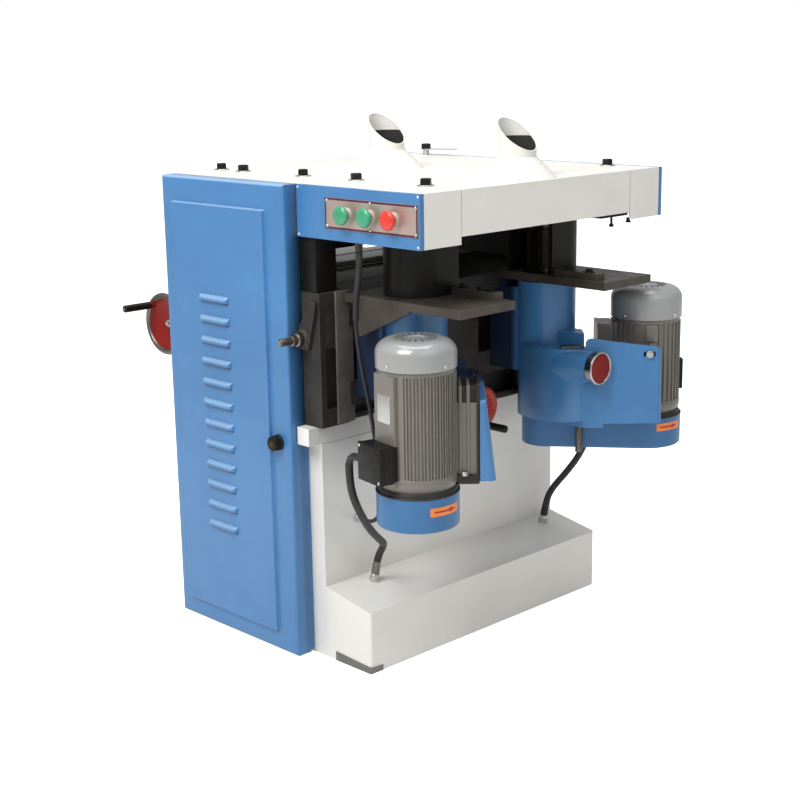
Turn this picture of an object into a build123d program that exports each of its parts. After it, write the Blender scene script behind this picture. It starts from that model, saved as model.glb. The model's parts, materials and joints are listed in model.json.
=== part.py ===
from build123d import *
import os
from math import acos, asin, atan2, cos, degrees, hypot, pi, radians, sin, sqrt, tan

# Four-side planer: planing heads under a hood and two vertical side heads on the outfeed side.
# Millimetres, Z up. The layout frame has x = 0 on the hood's outfeed face, y = 0 on the centre
# line and z = 0 on the floor. ORIGIN_X and ORIGIN_Y bring the finished pieces to the part frame.
ORIGIN_X = 520.0
ORIGIN_Y = 21.0

# How far a cutting shape overshoots the face that it opens
CUT = 1

# Hood and pans
HOOD_LENGTH = 940
HOOD_HALF = 422.5
HOOD_TOP = 1180
HOOD_SKIRT = 1058
HOOD_FACE_BOTTOM = 1076
HOOD_CORNER_Y = 304.5
HOOD_SHEET = 3
HOOD_SEAM = 1
LINTEL_H = 8
PAN_DEPTH = 13
PAN_SHEET = 2
FRONT_PAN_LENGTH = 408
DRIVE_GAP_X = (-893, -417)
OUTLET_XS = (-555, -106)
OUTLET_R = 47
OUTLET_BORE_R = 45.5
OUTLET_CONE_R = 95
OUTLET_CONE_TOP = 1230
OUTLET_MOUTH_Z = 1281
OUTLET_SLOPE = 39
BOLT_SPOTS = (
    (-876, -292), (-785, -292), (-549, -292), (-356, -292), (-123, -292), (-130, 378), (-800, 392),
)
BOLT_WASHER_R = 15
BOLT_WASHER_T = 2.5
BOLT_HEAD_R = 12.5
BOLT_HEAD_H = 14
BOLT_SHANK_R = 6
BOLT_SHANK_L = 3

# Control plate and buttons
PLATE_X = (-306, -4)
PLATE_Z = (1085, 1156)
PLATE_T = 2.5
BUTTON_XS = (-232, -156, -80)
BUTTON_Z = 1120
COLLAR_R = 17
COLLAR_H = 7
BUTTON_STEM_R = 10.5
BUTTON_HOLE_R = 11
BUTTON_HEAD_R = 22
BUTTON_HEAD_H = 14
BUTTON_GAP = 7
BUTTON_CROWN = 9
STEM_END = 4

# Base, plinth and drive door
BASE_X = (-880, -371)
BASE_FRONT_Y = -411.5
BASE_REAR_Y = 447.5
BASE_TOP = 553
SHEET = 4
RAIL_X0 = -413
RAIL_Y = (-452, 150)
RAIL_TOP = 597
PLINTH_X1 = -212
PLINTH_TOP_BACK = 186
PLINTH_TOP_FRONT = 157
PLINTH_OVERHANG = 2
PLINTH_CORNER_R = 8
MOTOR_SHAFT_HOLE_R = 30
LIFT_BOSS_X = (-391, -336)
LIFT_BEARING_X0 = -400
DOOR_X = (-894.7, -415.4)
DOOR_Y = (-471.7, -426.5)
DOOR_Z = (5, 1180)
DOOR_SHEET = 2.5
PANEL_X = (-851, -484)
PANEL_Z = (53, 1118)
PANEL_RISE = 5
PANEL_INSET = 8
DOOR_EDGE_R = 6
LOUVRE_X = (-741, -627)
LOUVRE_TOP_Z = 882
LOUVRE_PITCH = 54
LOUVRE_COUNT = 12
LOUVRE_H = 25
LOUVRE_OUT = 9
LOUVRE_LIP = 4
ENCLOSURE_X = (-890, -420)
ENCLOSURE_Z = (12, 1172)
ENCLOSURE_Y = (-426, -411.7)
ENCLOSURE_WALL = 3
HINGE_LEAF = 6
HINGE_X = -903
HINGE_Y = -426
HINGE_ZS = (160, 580, 1000)
HINGE_R = 6.5
HINGE_PIN_R = 3.5
HINGE_KNUCKLE = 22
LOCK_X = -461
LOCK_Z = 553
LOCK_R = 20
LOCK_STEM_R = 6
LOCK_GAP = 0.4
LOCK_FLANGE = 6
LOCK_GRIP = 24
LOCK_NUT = (2.9, 12)
LOCK_NUT_R = 11
LOCK_TAIL = 14

# Frames, bed and inner heads
FRAME_INNER_Y = 377.5
FRAME_X = (-880, -415)
BED_X = (-900, -416)
BED_NECK_X1 = -346
BED_NECK_HALF = 330
BED_Z = (878, 918)
TONGUE_X1 = -290
TONGUE_HALF = 140
LOWER_AXIS = (-680, 857)
UPPER_AXIS = (-560, 1070)
INFEED_AXIS = (-800, 1046)
OUTFEED_AXIS = (-455, 1044)
CUTTER_R = 60
CUTTER_HALF = 335
CUTTER_SHAFT_R = 20
ROLLER_R = 38
OUT_ROLLER_R = 36
ROLLER_SHAFT_R = 15
LIFTED_SHAFTS = (
    (UPPER_AXIS, CUTTER_SHAFT_R), (INFEED_AXIS, ROLLER_SHAFT_R), (OUTFEED_AXIS, ROLLER_SHAFT_R))
HEAD_LIFT = 50
HEAD_PLATE_Y = (352, 374)
HEAD_X = (-845, -416)
HEAD_Z = (1016, 1135)
HEAD_BAR_X = (-745, -640)
HEAD_BAR_Z0 = 1092
HEAD_SLOT_GAP = 6
BULKHEAD_X = (-880, -424)
GULLET_HALF = 7
GULLET_DEPTH = 10
FLUTE_HALF = 2.5
FLUTE_DEPTH = 3
CUTTER_KNIVES = 4
ROLLER_FLUTES = 24
ROLLER_TAIL_Y = -450
SPROCKET_R = 30
SPROCKET_W = 10
RUN_FIT = 0.06
MOTOR_AXIS = (-640, 260)
MOTOR_R = 95
MOTOR_Y = (-390, -90)
MOTOR_FOOT_HALF = 80
MOTOR_FOOT_END = 60
MOTOR_WALL = 20
MOTOR_BORE_R = 60
MOTOR_ROTOR_R = 59
MOTOR_PULLEY_R = 70
HEAD_PULLEY_R = 45
PULLEY_Y = (-463, -427)
BELT_A_Y = (-462, -448)
BELT_B_Y = (-443, -429)
BELT_T = 4
BELT_FIT = 0.4

# Slide frame and lead screws
POST_X = (-413, -350)
POST_Y = (337, 426)
POST_TOP = 925
COVER_Y = (362, 426)
COVER_TOP = 1057
COVER_STEP = 8
POCKET_Y = (354, 408)
POCKET_Z = (640, 790)
POCKET_DEPTH = 14
POCKET_R = 8
SLIDE_X = (-385, -345)
SLIDE_LOW_Z = (640, 700)
SLIDE_HIGH_Z = (835, 875)
CENTRE_Y = 120
CENTRE_X = (-413, -345)
CENTRE_Z = (600, 875)
SCREW_X = -400
SCREW_Z = 813
SCREW_R = 9
SCREW_TIP_Y = 509.5
SCREW_COLLAR_R = 14
SCREW_COLLAR_Y = (426.5, 442)
SCREW_SQUARE = 36
SCREW_FLAT = 0.66
SCREW_BITE = 30

# Handwheels
INFEED_RIM_R = 73
INFEED_DISH = 24
INFEED_GRIP_OFFSET = 69
LIFT_RIM_R = 44
LIFT_DISH = 12
LIFT_GRIP_OFFSET = 42
WHEEL_RIM_BAR = 8
WHEEL_WEB = 6
WHEEL_HUB_R = 20
WHEEL_SHAFT_R = 10
GRIP_R = 10
GRIP_PIN_R = 5
GRIP_LENGTH = 84
GRIP_START = 10
GRIP_END_R = 4
WHEEL_HUB_H = 8
PIN_COLLAR = 9.4
LIFT_SHAFT = 95
INFEED_WHEEL = (-1057.5, -372, 759)
INFEED_GRIP_ANGLE = 136
LIFT_WHEEL = (-300, 88, 564)
LIFT_GRIP_ANGLE = 250
LIFT_BOSS_R = 18
TABLE_X = (-1110, -901)
TABLE_HALF = 240
APRON_T = 24
APRON_INSET = 30
APRON_Z0 = 690
HANGER_HALF = 26
HANGER_R = 20
BRACE_T = 12
BRACE_Z0 = 820

# Side heads, written for the right one: local x runs from the spindle to the motor
SPINDLE_X = -213.5
SPINDLE_Y = 239.8
HEAD_ANGLE = 45
CENTRES = 259
QUILL_R = 75
QUILL_TOP = 896
QUILL_LIP = 3
QUILL_LIP_H = 16
ARM_Z = (540, 735)
ARM_BITE = 1.5
ARM_BACK_Y = -141
ARM_ROOT = 43
ARM_ELBOW = (110, -141)
ARM_ARMPIT = (62, -40)
LUG = ((20, -70), (86, -120), (86, -60), (56, -30))
PLATE_LOCAL_X = (87, 278)
PLATE_LOCAL_Y = (-182, -141)
PLATE_DROP = 26
PLATE_CORNER_R = 14
PLATE_EDGE_R = 15
LEAN_LOW = (514, -180)
LEAN_HIGH = (790, -148)
SLOT_X = (232, 262)
SLOT_BELOW = (48, 36)
LUG_Z = (700, 772)
CARRIAGE_Z0 = 660
CARRIAGE_STEP = 18
CARRIAGE_REACH = 40
SADDLE_X1 = -292
NUT_HALF = 30
NUT_Z = (789, 833)
NUT_REACH = 18
NUT_FIT = 0.3
CARTRIDGE_R = 56
SHAFT_R = 25
NOSE_R = 20
SPINDLE_PULLEY_R = 38
SIDE_CUTTER_R = 58
SIDE_CUTTER_Z = (930, 1030)
GUARD_MOTOR_R = 95
GUARD_SPINDLE_R = 63
GUARD_DEPTH = 80
GUARD_SHEET = 2.5
GUARD_EDGE_R = 6
CARTRIDGE_ABOVE = 24
CARTRIDGE_BELOW_TOP = 20
DRUM_BELOW = 62
DRUM_ABOVE = 4
NOSE_STEP = 12
SIDE_GULLET_DEPTH = 14
SIDE_GULLET_HALF = 8
SIDE_GULLET_TURN = 20
SIDE_BELT_W = 40
SIDE_BELT_BELOW = 58
SIDE_TABLE_X = (-343, 35)
SIDE_TABLE_Y = (164.5, 350.5)
SIDE_TABLE_Z = (898, 918)
GUSSET_X = (-300, -288, -126)
GUSSET_Z = 821
GUSSET_T = 12
BAR_X = (-132, 4)
BAR_IN = (8, 38)
BAR_SLOT_IN = (18, 28)
BAR_H = 18
BAR_SLOTS_X = ((-118, -74), (-54, -10))
TABLE_HOLE_R = 66
CHIP_R = 76
CHIP_SHEET = 4
CHIP_TOP = 1050
CHIP_LEG_IN = 6
STATOR_R = 80
FIN_R = 90
FIN_COUNT = 36
FIN_T = 3.5
FIN_ROOT = 2
FIN_ABOVE = (24, 246)
STATOR_ABOVE = (12, 255)
SHIELD_ABOVE = (1, 14)
RING_ABOVE = (246, 255)
FOOT_XS = (-66, 2)
FOOT_HALF = 8
FOOT_Y = (-141, -60)
FOOT_ABOVE = (30, 200)
STATOR_BORE_R = 50
ROTOR_SHAFT_R = 14
PAD_OUT = 88
PAD_HALF = 38
PAD_CLEAR = 29
RIB_T = 11
RIB_TURN = 33
ROTOR_ABOVE = (60, 230)
ROTOR_R = 49
FAN_ABOVE = (268, 288)
SIDE_PULLEY_R = 70
SIDE_PULLEY_ABOVE = (-68, -8)
SHAFT_ABOVE = (-76, 290)
COWL_R = 92
COWL_H = 82
LEFT_COWL_H = 66
LEFT_STACK = 28
COWL_CROWN = 34
COWL_SHEET = 2
GRILLE_X = (24, 54)
GRILLE_HALF = 3
GRILLE_SLOTS = 12
BOX_OUT = 131
BOX_IN = 84
BOX_HALF = 46
BOX_LID = 8
BOX_STEP = 2
BOX_NECK_HALF = 30
BOX_NECK_STEP = 20
BOX_LID_R = 5
STUB_X = 107
STUB_Z = 735
GUARD_RIM_RIGHT = 540
GUARD_RIM_LEFT = 514
RIGHT_PLATE_Z = (550, 766)
LEFT_PLATE_Z = (534, 745)
RIGHT_BOX_ANGLE = 180
LEFT_BOX_ANGLE = 55
RIGHT_BOX_Z = (692, 784)
LEFT_BOX_Z = (549, 637)
KNOB_X = 11
KNOB_Y = 177
KNOB_Z = 700
KNOB_R = 42
KNOB_SHAFT_R = 8
KNOB_SHAFT_X0 = -84
KNOB_BORE_X = (-150, 60)
KNOB_BOSS_X = (-74, -12)
KNOB_BOSS_R = 30

# Cables
MOTOR_CABLE_D = 14
CONTROL_CABLE_D = 10
GLAND_H = 22
CORD_SHARE = 0.45
ELBOW_X = 112
ELBOW_Z = 594
ELBOW_REACH = 66
ELBOW_SWELL = 1.5
ELBOW_DROP = 28
STUB_END = 56
STUB_R = 10


def block(x, y, z):
    """Box between pairs of limits."""
    size = (x[1] - x[0], y[1] - y[0], z[1] - z[0])
    return Pos((x[0] + x[1]) / 2, (y[0] + y[1]) / 2, (z[0] + z[1]) / 2) * Box(*size)


def rod_x(y, z, x, r):
    """Cylinder along X between the limits x."""
    return Pos((x[0] + x[1]) / 2, y, z) * Rot(0, 90, 0) * Cylinder(r, x[1] - x[0])


def rod_y(x, z, y, r):
    """Cylinder along Y between the limits y."""
    return Pos(x, (y[0] + y[1]) / 2, z) * Rot(90, 0, 0) * Cylinder(r, y[1] - y[0])


def rod_z(x, y, z, r):
    """Cylinder along Z between the limits z."""
    return Pos(x, y, (z[0] + z[1]) / 2) * Cylinder(r, z[1] - z[0])


def flip(pair):
    """Limits of the mirrored span on the other side of the centre line."""
    return (-pair[1], -pair[0])


def prism_z(points, z):
    """Upright prism over a plan polygon."""
    face = make_face(Polyline(*points, close=True))
    return Pos(0, 0, z[0]) * extrude(face, z[1] - z[0])


def prism_y(points, y):
    """Prism along Y over a polygon given as (x, z)."""
    face = make_face(Polyline(*[(px, y[0], pz) for px, pz in points], close=True))
    return extrude(face, y[1] - y[0], dir=(0, 1, 0))


def mirrored(shape):
    """The same shape on the other side of the centre line."""
    return mirror(shape, about=Plane.XZ)


def belt_outline(length, r_start, r_end):
    """Plan outline wrapped round two circles, the second one at (length, 0)."""
    lean = asin((r_end - r_start) / length)
    corners = []
    for cx, r, sign in ((0, r_start, 1), (length, r_end, 1), (length, r_end, -1), (0, r_start, -1)):
        corners.append((cx - r * sin(lean), sign * r * cos(lean)))
    straps = make_face(Polyline(*corners, close=True))
    return Circle(r_start) + Pos(length, 0) * Circle(r_end) + straps


def wrapped(length, r_start, r_end, height):
    """Solid with the outline wrapped round two circles."""
    return extrude(belt_outline(length, r_start, r_end), height)


def cord(points, diameter, name):
    """Tube of straight runs and tangent arcs through the points."""
    line_points = [Vector(*p) for p in points]
    radii = []
    for before, here, after in zip(line_points, line_points[1:], line_points[2:]):
        run_in = here - before
        run_out = after - here
        turn = radians(run_in.get_angle(run_out))
        shorter = min(run_in.length, run_out.length)
        radii.append(CORD_SHARE * shorter / tan(turn / 2))
    path = FilletPolyline(*points, radius=radii)
    start = Plane(origin=path @ 0, z_dir=path % 0)
    tube = sweep(start * Circle(diameter / 2), path=path)
    expected = pi * diameter ** 2 / 4 * path.length
    print(name, "length", round(path.length), "least radius", round(min(radii), 1),
          "volume ratio", round(tube.volume / expected, 4))
    return tube


def gland(at, direction, cable_d):
    """Cable gland standing on a face: hex base and round nut, bored for the cable's end."""
    plane = Plane(origin=at, z_dir=direction)
    base = extrude(RegularPolygon(cable_d, 6), GLAND_H * 0.4)
    nut = Pos(0, 0, GLAND_H * 0.4) * extrude(Circle(cable_d * 0.8), GLAND_H * 0.6)
    return plane * (base + nut)


def save(name, shape):
    """Write one piece in the part frame."""
    moved = Pos(ORIGIN_X, ORIGIN_Y, 0) * shape
    solids = moved.solids()
    moved = solids[0] if len(solids) == 1 else Compound(children=list(solids))
    moved.label = name
    export_step(moved, os.path.join("parts", name + ".step"))
    pieces[name] = moved.bounding_box()


def base_cabinet():
    """Closed sheet-metal cabinet with the top rail along its outfeed edge."""
    outer = block(BASE_X, (BASE_FRONT_Y, BASE_REAR_Y), (0, BASE_TOP))
    inner = block((BASE_X[0] + SHEET, BASE_X[1] - SHEET), (BASE_FRONT_Y + SHEET, BASE_REAR_Y - SHEET),
                  (SHEET, BASE_TOP - SHEET))
    rail = block((RAIL_X0, BASE_X[1]), RAIL_Y, (BASE_TOP, RAIL_TOP))
    seam = block((BASE_X[1] - 1, BASE_X[1]), RAIL_Y, (BASE_TOP - 1, BASE_TOP + 1))
    wall_y = (BASE_FRONT_Y - CUT, BASE_FRONT_Y + SHEET + CUT)
    shaft_hole = rod_y(MOTOR_AXIS[0], MOTOR_AXIS[1], wall_y, MOTOR_SHAFT_HOLE_R)
    boss = rod_x(LIFT_WHEEL[1], LIFT_WHEEL[2], LIFT_BOSS_X, LIFT_BOSS_R)
    bearing_x = (LIFT_BEARING_X0, LIFT_BOSS_X[1] + CUT)
    bearing = rod_x(LIFT_WHEEL[1], LIFT_WHEEL[2], bearing_x, WHEEL_SHAFT_R + RUN_FIT)
    return outer - inner + rail - seam - shaft_hole + boss - bearing


def outfeed_plinth():
    """Low plinth on the outfeed side with a sloping top."""
    profile = ((BASE_X[1], 0), (PLINTH_X1, 0), (PLINTH_X1, PLINTH_TOP_FRONT), (BASE_X[1], PLINTH_TOP_BACK))
    rear_y = BASE_REAR_Y + PLINTH_OVERHANG
    outer = prism_y(profile, (BASE_FRONT_Y, rear_y))
    front_edges = outer.edges().filter_by(Axis.Z).group_by(Axis.X)[-1]
    outer = fillet(front_edges, PLINTH_CORNER_R)
    lip = ((BASE_X[1] + SHEET, SHEET), (PLINTH_X1 - SHEET, SHEET),
           (PLINTH_X1 - SHEET, PLINTH_TOP_FRONT - SHEET), (BASE_X[1] + SHEET, PLINTH_TOP_BACK - SHEET - 1))
    return outer - prism_y(lip, (BASE_FRONT_Y + SHEET, rear_y - SHEET))


def drive_enclosure():
    """Shallow ring on the cabinet's front that the door shuts against, with welded hinge pins."""
    outer = block(ENCLOSURE_X, ENCLOSURE_Y, ENCLOSURE_Z)
    inner = block((ENCLOSURE_X[0] + ENCLOSURE_WALL, ENCLOSURE_X[1] - ENCLOSURE_WALL),
                  (ENCLOSURE_Y[0] - CUT, ENCLOSURE_Y[1] + CUT),
                  (ENCLOSURE_Z[0] + ENCLOSURE_WALL, ENCLOSURE_Z[1] - ENCLOSURE_WALL))
    ring = outer - inner
    for z in HINGE_ZS:
        ring += rod_z(HINGE_X, HINGE_Y, (z - HINGE_KNUCKLE, z), HINGE_R)
        leaf_y = (HINGE_Y + 0.1, HINGE_Y + HINGE_LEAF)
        ring += block((HINGE_X, ENCLOSURE_X[0]), leaf_y, (z - HINGE_KNUCKLE, z))
        ring += rod_z(HINGE_X, HINGE_Y, (z, z + HINGE_KNUCKLE), HINGE_PIN_R)
    return ring


def drive_door():
    """Pan door with a raised panel, louvres and hinge knuckles."""
    outer = block(DOOR_X, DOOR_Y, DOOR_Z)
    outer = fillet(outer.edges().group_by(Axis.Y)[0], DOOR_EDGE_R)
    face_y = DOOR_Y[0] - PANEL_RISE
    rise = block(PANEL_X, (face_y, DOOR_Y[0] + CUT), PANEL_Z)
    rise = chamfer(rise.edges().group_by(Axis.Y)[0], PANEL_RISE - 0.5)
    inner = block((DOOR_X[0] + DOOR_SHEET, DOOR_X[1] - DOOR_SHEET), (DOOR_Y[0] + DOOR_SHEET, DOOR_Y[1] + CUT),
                  (DOOR_Z[0] + DOOR_SHEET, DOOR_Z[1] - DOOR_SHEET))
    hollow = block((PANEL_X[0] + PANEL_INSET, PANEL_X[1] - PANEL_INSET),
                   (face_y + DOOR_SHEET, DOOR_Y[0] + DOOR_SHEET + CUT),
                   (PANEL_Z[0] + PANEL_INSET, PANEL_Z[1] - PANEL_INSET))
    door = outer + rise - inner - hollow
    crest_y = face_y - LOUVRE_OUT
    slope = ((face_y + 0.5, 0), (face_y + 0.5, LOUVRE_H), (crest_y, LOUVRE_LIP), (crest_y, 0))
    profile = make_face(Polyline(*[(LOUVRE_X[0], py, pz) for py, pz in slope], close=True))
    louvre = extrude(profile, LOUVRE_X[1] - LOUVRE_X[0], dir=(1, 0, 0))
    slot = block((LOUVRE_X[0] + LOUVRE_LIP, LOUVRE_X[1] - LOUVRE_LIP),
                 (crest_y + DOOR_SHEET, face_y + DOOR_SHEET + CUT), (-CUT, LOUVRE_LIP + CUT))
    for index in range(LOUVRE_COUNT):
        low = LOUVRE_TOP_Z - index * LOUVRE_PITCH - LOUVRE_H / 2
        door += Pos(0, 0, low) * louvre
        door -= Pos(0, 0, low) * slot
    for z in HINGE_ZS:
        knuckle_z = (z + 0.5, z + HINGE_KNUCKLE)
        knuckle = rod_z(HINGE_X, HINGE_Y, knuckle_z, HINGE_R)
        knuckle += block((HINGE_X, DOOR_X[0] + CUT), (HINGE_Y - HINGE_R, HINGE_Y - CUT), knuckle_z)
        door += knuckle - rod_z(HINGE_X, HINGE_Y, (z, z + HINGE_KNUCKLE + CUT), HINGE_PIN_R + RUN_FIT)
    lock_y = (DOOR_Y[0] - 2 * CUT, DOOR_Y[0] + 2 * DOOR_SHEET)
    return door - rod_y(LOCK_X, LOCK_Z, lock_y, LOCK_STEM_R + RUN_FIT)


def lock_knob():
    """Turning lock knob with its stem and inner nut."""
    front = DOOR_Y[0] - LOCK_GAP
    knob = rod_y(LOCK_X, LOCK_Z, (front - LOCK_FLANGE, front), LOCK_R)
    grip_body = rod_y(LOCK_X, LOCK_Z, (front - LOCK_GRIP, front - LOCK_FLANGE), LOCK_R - GRIP_END_R)
    grip_body = fillet(grip_body.edges().group_by(Axis.Y)[0], GRIP_END_R)
    stem = rod_y(LOCK_X, LOCK_Z, (front, DOOR_Y[0] + LOCK_TAIL), LOCK_STEM_R)
    nut = rod_y(LOCK_X, LOCK_Z, (DOOR_Y[0] + LOCK_NUT[0], DOOR_Y[0] + LOCK_NUT[1]), LOCK_NUT_R)
    return knob + grip_body + stem + nut


def hood_shell():
    """Hood of welded plates, open below and cut away behind the drive door."""
    under = HOOD_TOP - HOOD_SHEET
    inside_x = (-HOOD_LENGTH + HOOD_SHEET, -HOOD_SHEET)
    top = block((-HOOD_LENGTH, 0), (-HOOD_HALF, HOOD_HALF), (under, HOOD_TOP))
    for x in OUTLET_XS:
        top -= rod_z(x, 0, (under - CUT, HOOD_TOP + CUT), OUTLET_BORE_R)
    for x, y in BOLT_SPOTS:
        top -= rod_z(x, y, (under - CUT, HOOD_TOP + CUT), BOLT_SHANK_R)
    plates = [top]
    corner_y = (HOOD_CORNER_Y + HOOD_SEAM, HOOD_HALF)
    middle_y = (-HOOD_CORNER_Y + HOOD_SEAM, HOOD_CORNER_Y - HOOD_SEAM)
    for end_x in ((-HOOD_SHEET, 0), (-HOOD_LENGTH, inside_x[0])):
        plates.append(block(end_x, corner_y, (HOOD_SKIRT, under)))
        plates.append(block(end_x, flip(corner_y), (HOOD_SKIRT, under)))
        plates.append(block(end_x, middle_y, (HOOD_FACE_BOTTOM, under)))
    rear_y = (HOOD_HALF - HOOD_SHEET, HOOD_HALF)
    plates.append(block(inside_x, rear_y, (HOOD_SKIRT, under)))
    front = block((DRIVE_GAP_X[1], inside_x[1]), flip(rear_y), (HOOD_SKIRT, under))
    for x in BUTTON_XS:
        front -= rod_y(x, BUTTON_Z, (-HOOD_HALF - CUT, -HOOD_HALF + HOOD_SHEET + CUT), BUTTON_HOLE_R)
    plates.append(front)
    plates.append(block((inside_x[0], DRIVE_GAP_X[0]), flip(rear_y), (HOOD_SKIRT, under)))
    plates.append(block(DRIVE_GAP_X, flip(rear_y), (HOOD_TOP - LINTEL_H, under)))
    return Compound(children=plates)


def pan(x, y, open_side):
    """Shallow side pan, open toward the hood."""
    outer = block(x, y, (HOOD_SKIRT, HOOD_TOP))
    pocket_y = (y[0] + PAN_SHEET, y[1] + CUT) if open_side > 0 else (y[0] - CUT, y[1] - PAN_SHEET)
    pocket_z = (HOOD_SKIRT + PAN_SHEET, HOOD_TOP - PAN_SHEET)
    return outer - block((x[0] + PAN_SHEET, x[1] - PAN_SHEET), pocket_y, pocket_z)


def hood_pans():
    """Blue pans on both long sides of the hood."""
    front = pan((-FRONT_PAN_LENGTH, 0), (-HOOD_HALF - PAN_DEPTH, -HOOD_HALF), 1)
    for x in BUTTON_XS:
        front -= rod_y(x, BUTTON_Z, (-HOOD_HALF - PAN_DEPTH - 1, -HOOD_HALF), BUTTON_HOLE_R)
    rear = pan((-HOOD_LENGTH, 0), (HOOD_HALF, HOOD_HALF + PAN_DEPTH), -1)
    return Compound(children=[front, rear])


def dust_outlets():
    """Two mitred suction pipes on cone flanges."""
    outlets = []
    for x in OUTLET_XS:
        cone_h = OUTLET_CONE_TOP - HOOD_TOP
        cone = Pos(x, 0, HOOD_TOP + cone_h / 2) * Cone(OUTLET_CONE_R, OUTLET_R, cone_h)
        top = OUTLET_MOUTH_Z + 2 * OUTLET_R
        pipe = cone + rod_z(x, 0, (HOOD_TOP, top), OUTLET_R)
        pipe -= rod_z(x, 0, (HOOD_TOP - CUT, top + CUT), OUTLET_BORE_R)
        reach = 4 * OUTLET_R
        mitre = Pos(0, 0, reach) * Box(4 * reach, 2 * reach, 2 * reach)
        outlets.append(pipe - Pos(x, 0, OUTLET_MOUTH_Z) * Rot(0, OUTLET_SLOPE, 0) * mitre)
    return Compound(children=outlets)


def hood_bolts():
    """Hood bolts with their washers."""
    bolt = rod_z(0, 0, (0, BOLT_WASHER_T), BOLT_WASHER_R)
    bolt += Pos(0, 0, BOLT_WASHER_T) * extrude(RegularPolygon(BOLT_HEAD_R, 6), BOLT_HEAD_H)
    bolt += rod_z(0, 0, (-BOLT_SHANK_L, 0), BOLT_SHANK_R)
    return Compound(children=[Pos(x, y, HOOD_TOP) * bolt for x, y in BOLT_SPOTS])


def control_plate():
    """Control plate with three button collars."""
    back = -HOOD_HALF - PAN_DEPTH
    plate = block(PLATE_X, (back - PLATE_T, back), PLATE_Z)
    for x in BUTTON_XS:
        plate += rod_y(x, BUTTON_Z, (back - PLATE_T - COLLAR_H, back - PLATE_T), COLLAR_R)
    for x in BUTTON_XS:
        plate -= rod_y(x, BUTTON_Z, (back - 20, back + 1), BUTTON_HOLE_R)
    return plate


def button(x):
    """Mushroom button on a round stem."""
    collar_front = -HOOD_HALF - PAN_DEPTH - PLATE_T - COLLAR_H
    head_back = collar_front - BUTTON_GAP
    head = rod_y(x, BUTTON_Z, (head_back - BUTTON_HEAD_H, head_back), BUTTON_HEAD_R)
    head = fillet(head.edges().group_by(Axis.Y)[0], BUTTON_CROWN)
    return head + rod_y(x, BUTTON_Z, (head_back, -HOOD_HALF - STEM_END), BUTTON_STEM_R)


def side_frames():
    """Two cast side frames joined by bulkheads; they carry the bed and guide the head carriage."""
    y = (FRAME_INNER_Y, -BASE_FRONT_Y)
    through = (y[0] - CUT, y[1] + CUT)
    rear = block(FRAME_X, y, (BASE_TOP, HOOD_TOP - HOOD_SHEET))
    rear -= rod_y(LOWER_AXIS[0], LOWER_AXIS[1], through, CUTTER_SHAFT_R + RUN_FIT)
    for axis, r in LIFTED_SHAFTS:
        slot_r = r + HEAD_SLOT_GAP
        lowest = axis[1] - HEAD_LIFT
        rear -= block((axis[0] - slot_r, axis[0] + slot_r), through, (lowest, axis[1]))
        rear -= rod_y(axis[0], axis[1], through, slot_r)
        rear -= rod_y(axis[0], lowest, through, slot_r)
    frames = rear + mirrored(rear)
    for x in BULKHEAD_X:
        frames += block((x, x + SHEET), (-FRAME_INNER_Y - CUT, FRAME_INNER_Y + CUT), (BASE_TOP, BED_Z[0] - 2))
    return frames


def main_bed():
    """Planer bed with the lower cutter's slot and the outfeed tongue."""
    bed = block(BED_X, (-FRAME_INNER_Y, FRAME_INNER_Y), BED_Z)
    half = CUTTER_R + 3
    slot_half = CUTTER_HALF + 6
    through = (BED_Z[0] - CUT, BED_Z[1] + CUT)
    bed -= block((LOWER_AXIS[0] - half, LOWER_AXIS[0] + half), (-slot_half, slot_half), through)
    bed += block((BED_X[1], BED_NECK_X1), (-BED_NECK_HALF, BED_NECK_HALF), BED_Z)
    return bed + block((BED_NECK_X1, TONGUE_X1), (-TONGUE_HALF, TONGUE_HALF), (BED_Z[0] + 2, BED_Z[1]))


def cutter(axis, r, half, knives):
    """Cutter block with gullets along its length, axis along Y at the origin height."""
    body = rod_y(axis[0], axis[1], (-half, half), r)
    gullet_z = (r - GULLET_DEPTH, r + GULLET_DEPTH)
    gullet = block((-GULLET_HALF, GULLET_HALF), (-half - CUT, half + CUT), gullet_z)
    for index in range(knives):
        body -= Pos(axis[0], 0, axis[1]) * Rot(0, index * 360 / knives, 0) * gullet
    return body


def upper_cutter():
    """Upper cutter with its shaft and pulley."""
    shaft = rod_y(UPPER_AXIS[0], UPPER_AXIS[1], (PULLEY_Y[0] - 2, HEAD_PLATE_Y[1]), CUTTER_SHAFT_R)
    pulley = rod_y(UPPER_AXIS[0], UPPER_AXIS[1], (BELT_B_Y[0] - 2, BELT_B_Y[1] + 2), HEAD_PULLEY_R)
    return cutter(UPPER_AXIS, CUTTER_R, CUTTER_HALF, CUTTER_KNIVES) + shaft + pulley


def lower_cutter():
    """Lower cutter with its shaft and pulley."""
    shaft = rod_y(LOWER_AXIS[0], LOWER_AXIS[1], (PULLEY_Y[0] - 2, -BASE_FRONT_Y), CUTTER_SHAFT_R)
    pulley = rod_y(LOWER_AXIS[0], LOWER_AXIS[1], (BELT_A_Y[0] - 2, BELT_A_Y[1] + 2), HEAD_PULLEY_R)
    return cutter(LOWER_AXIS, CUTTER_R, CUTTER_HALF, CUTTER_KNIVES) + shaft + pulley


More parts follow.
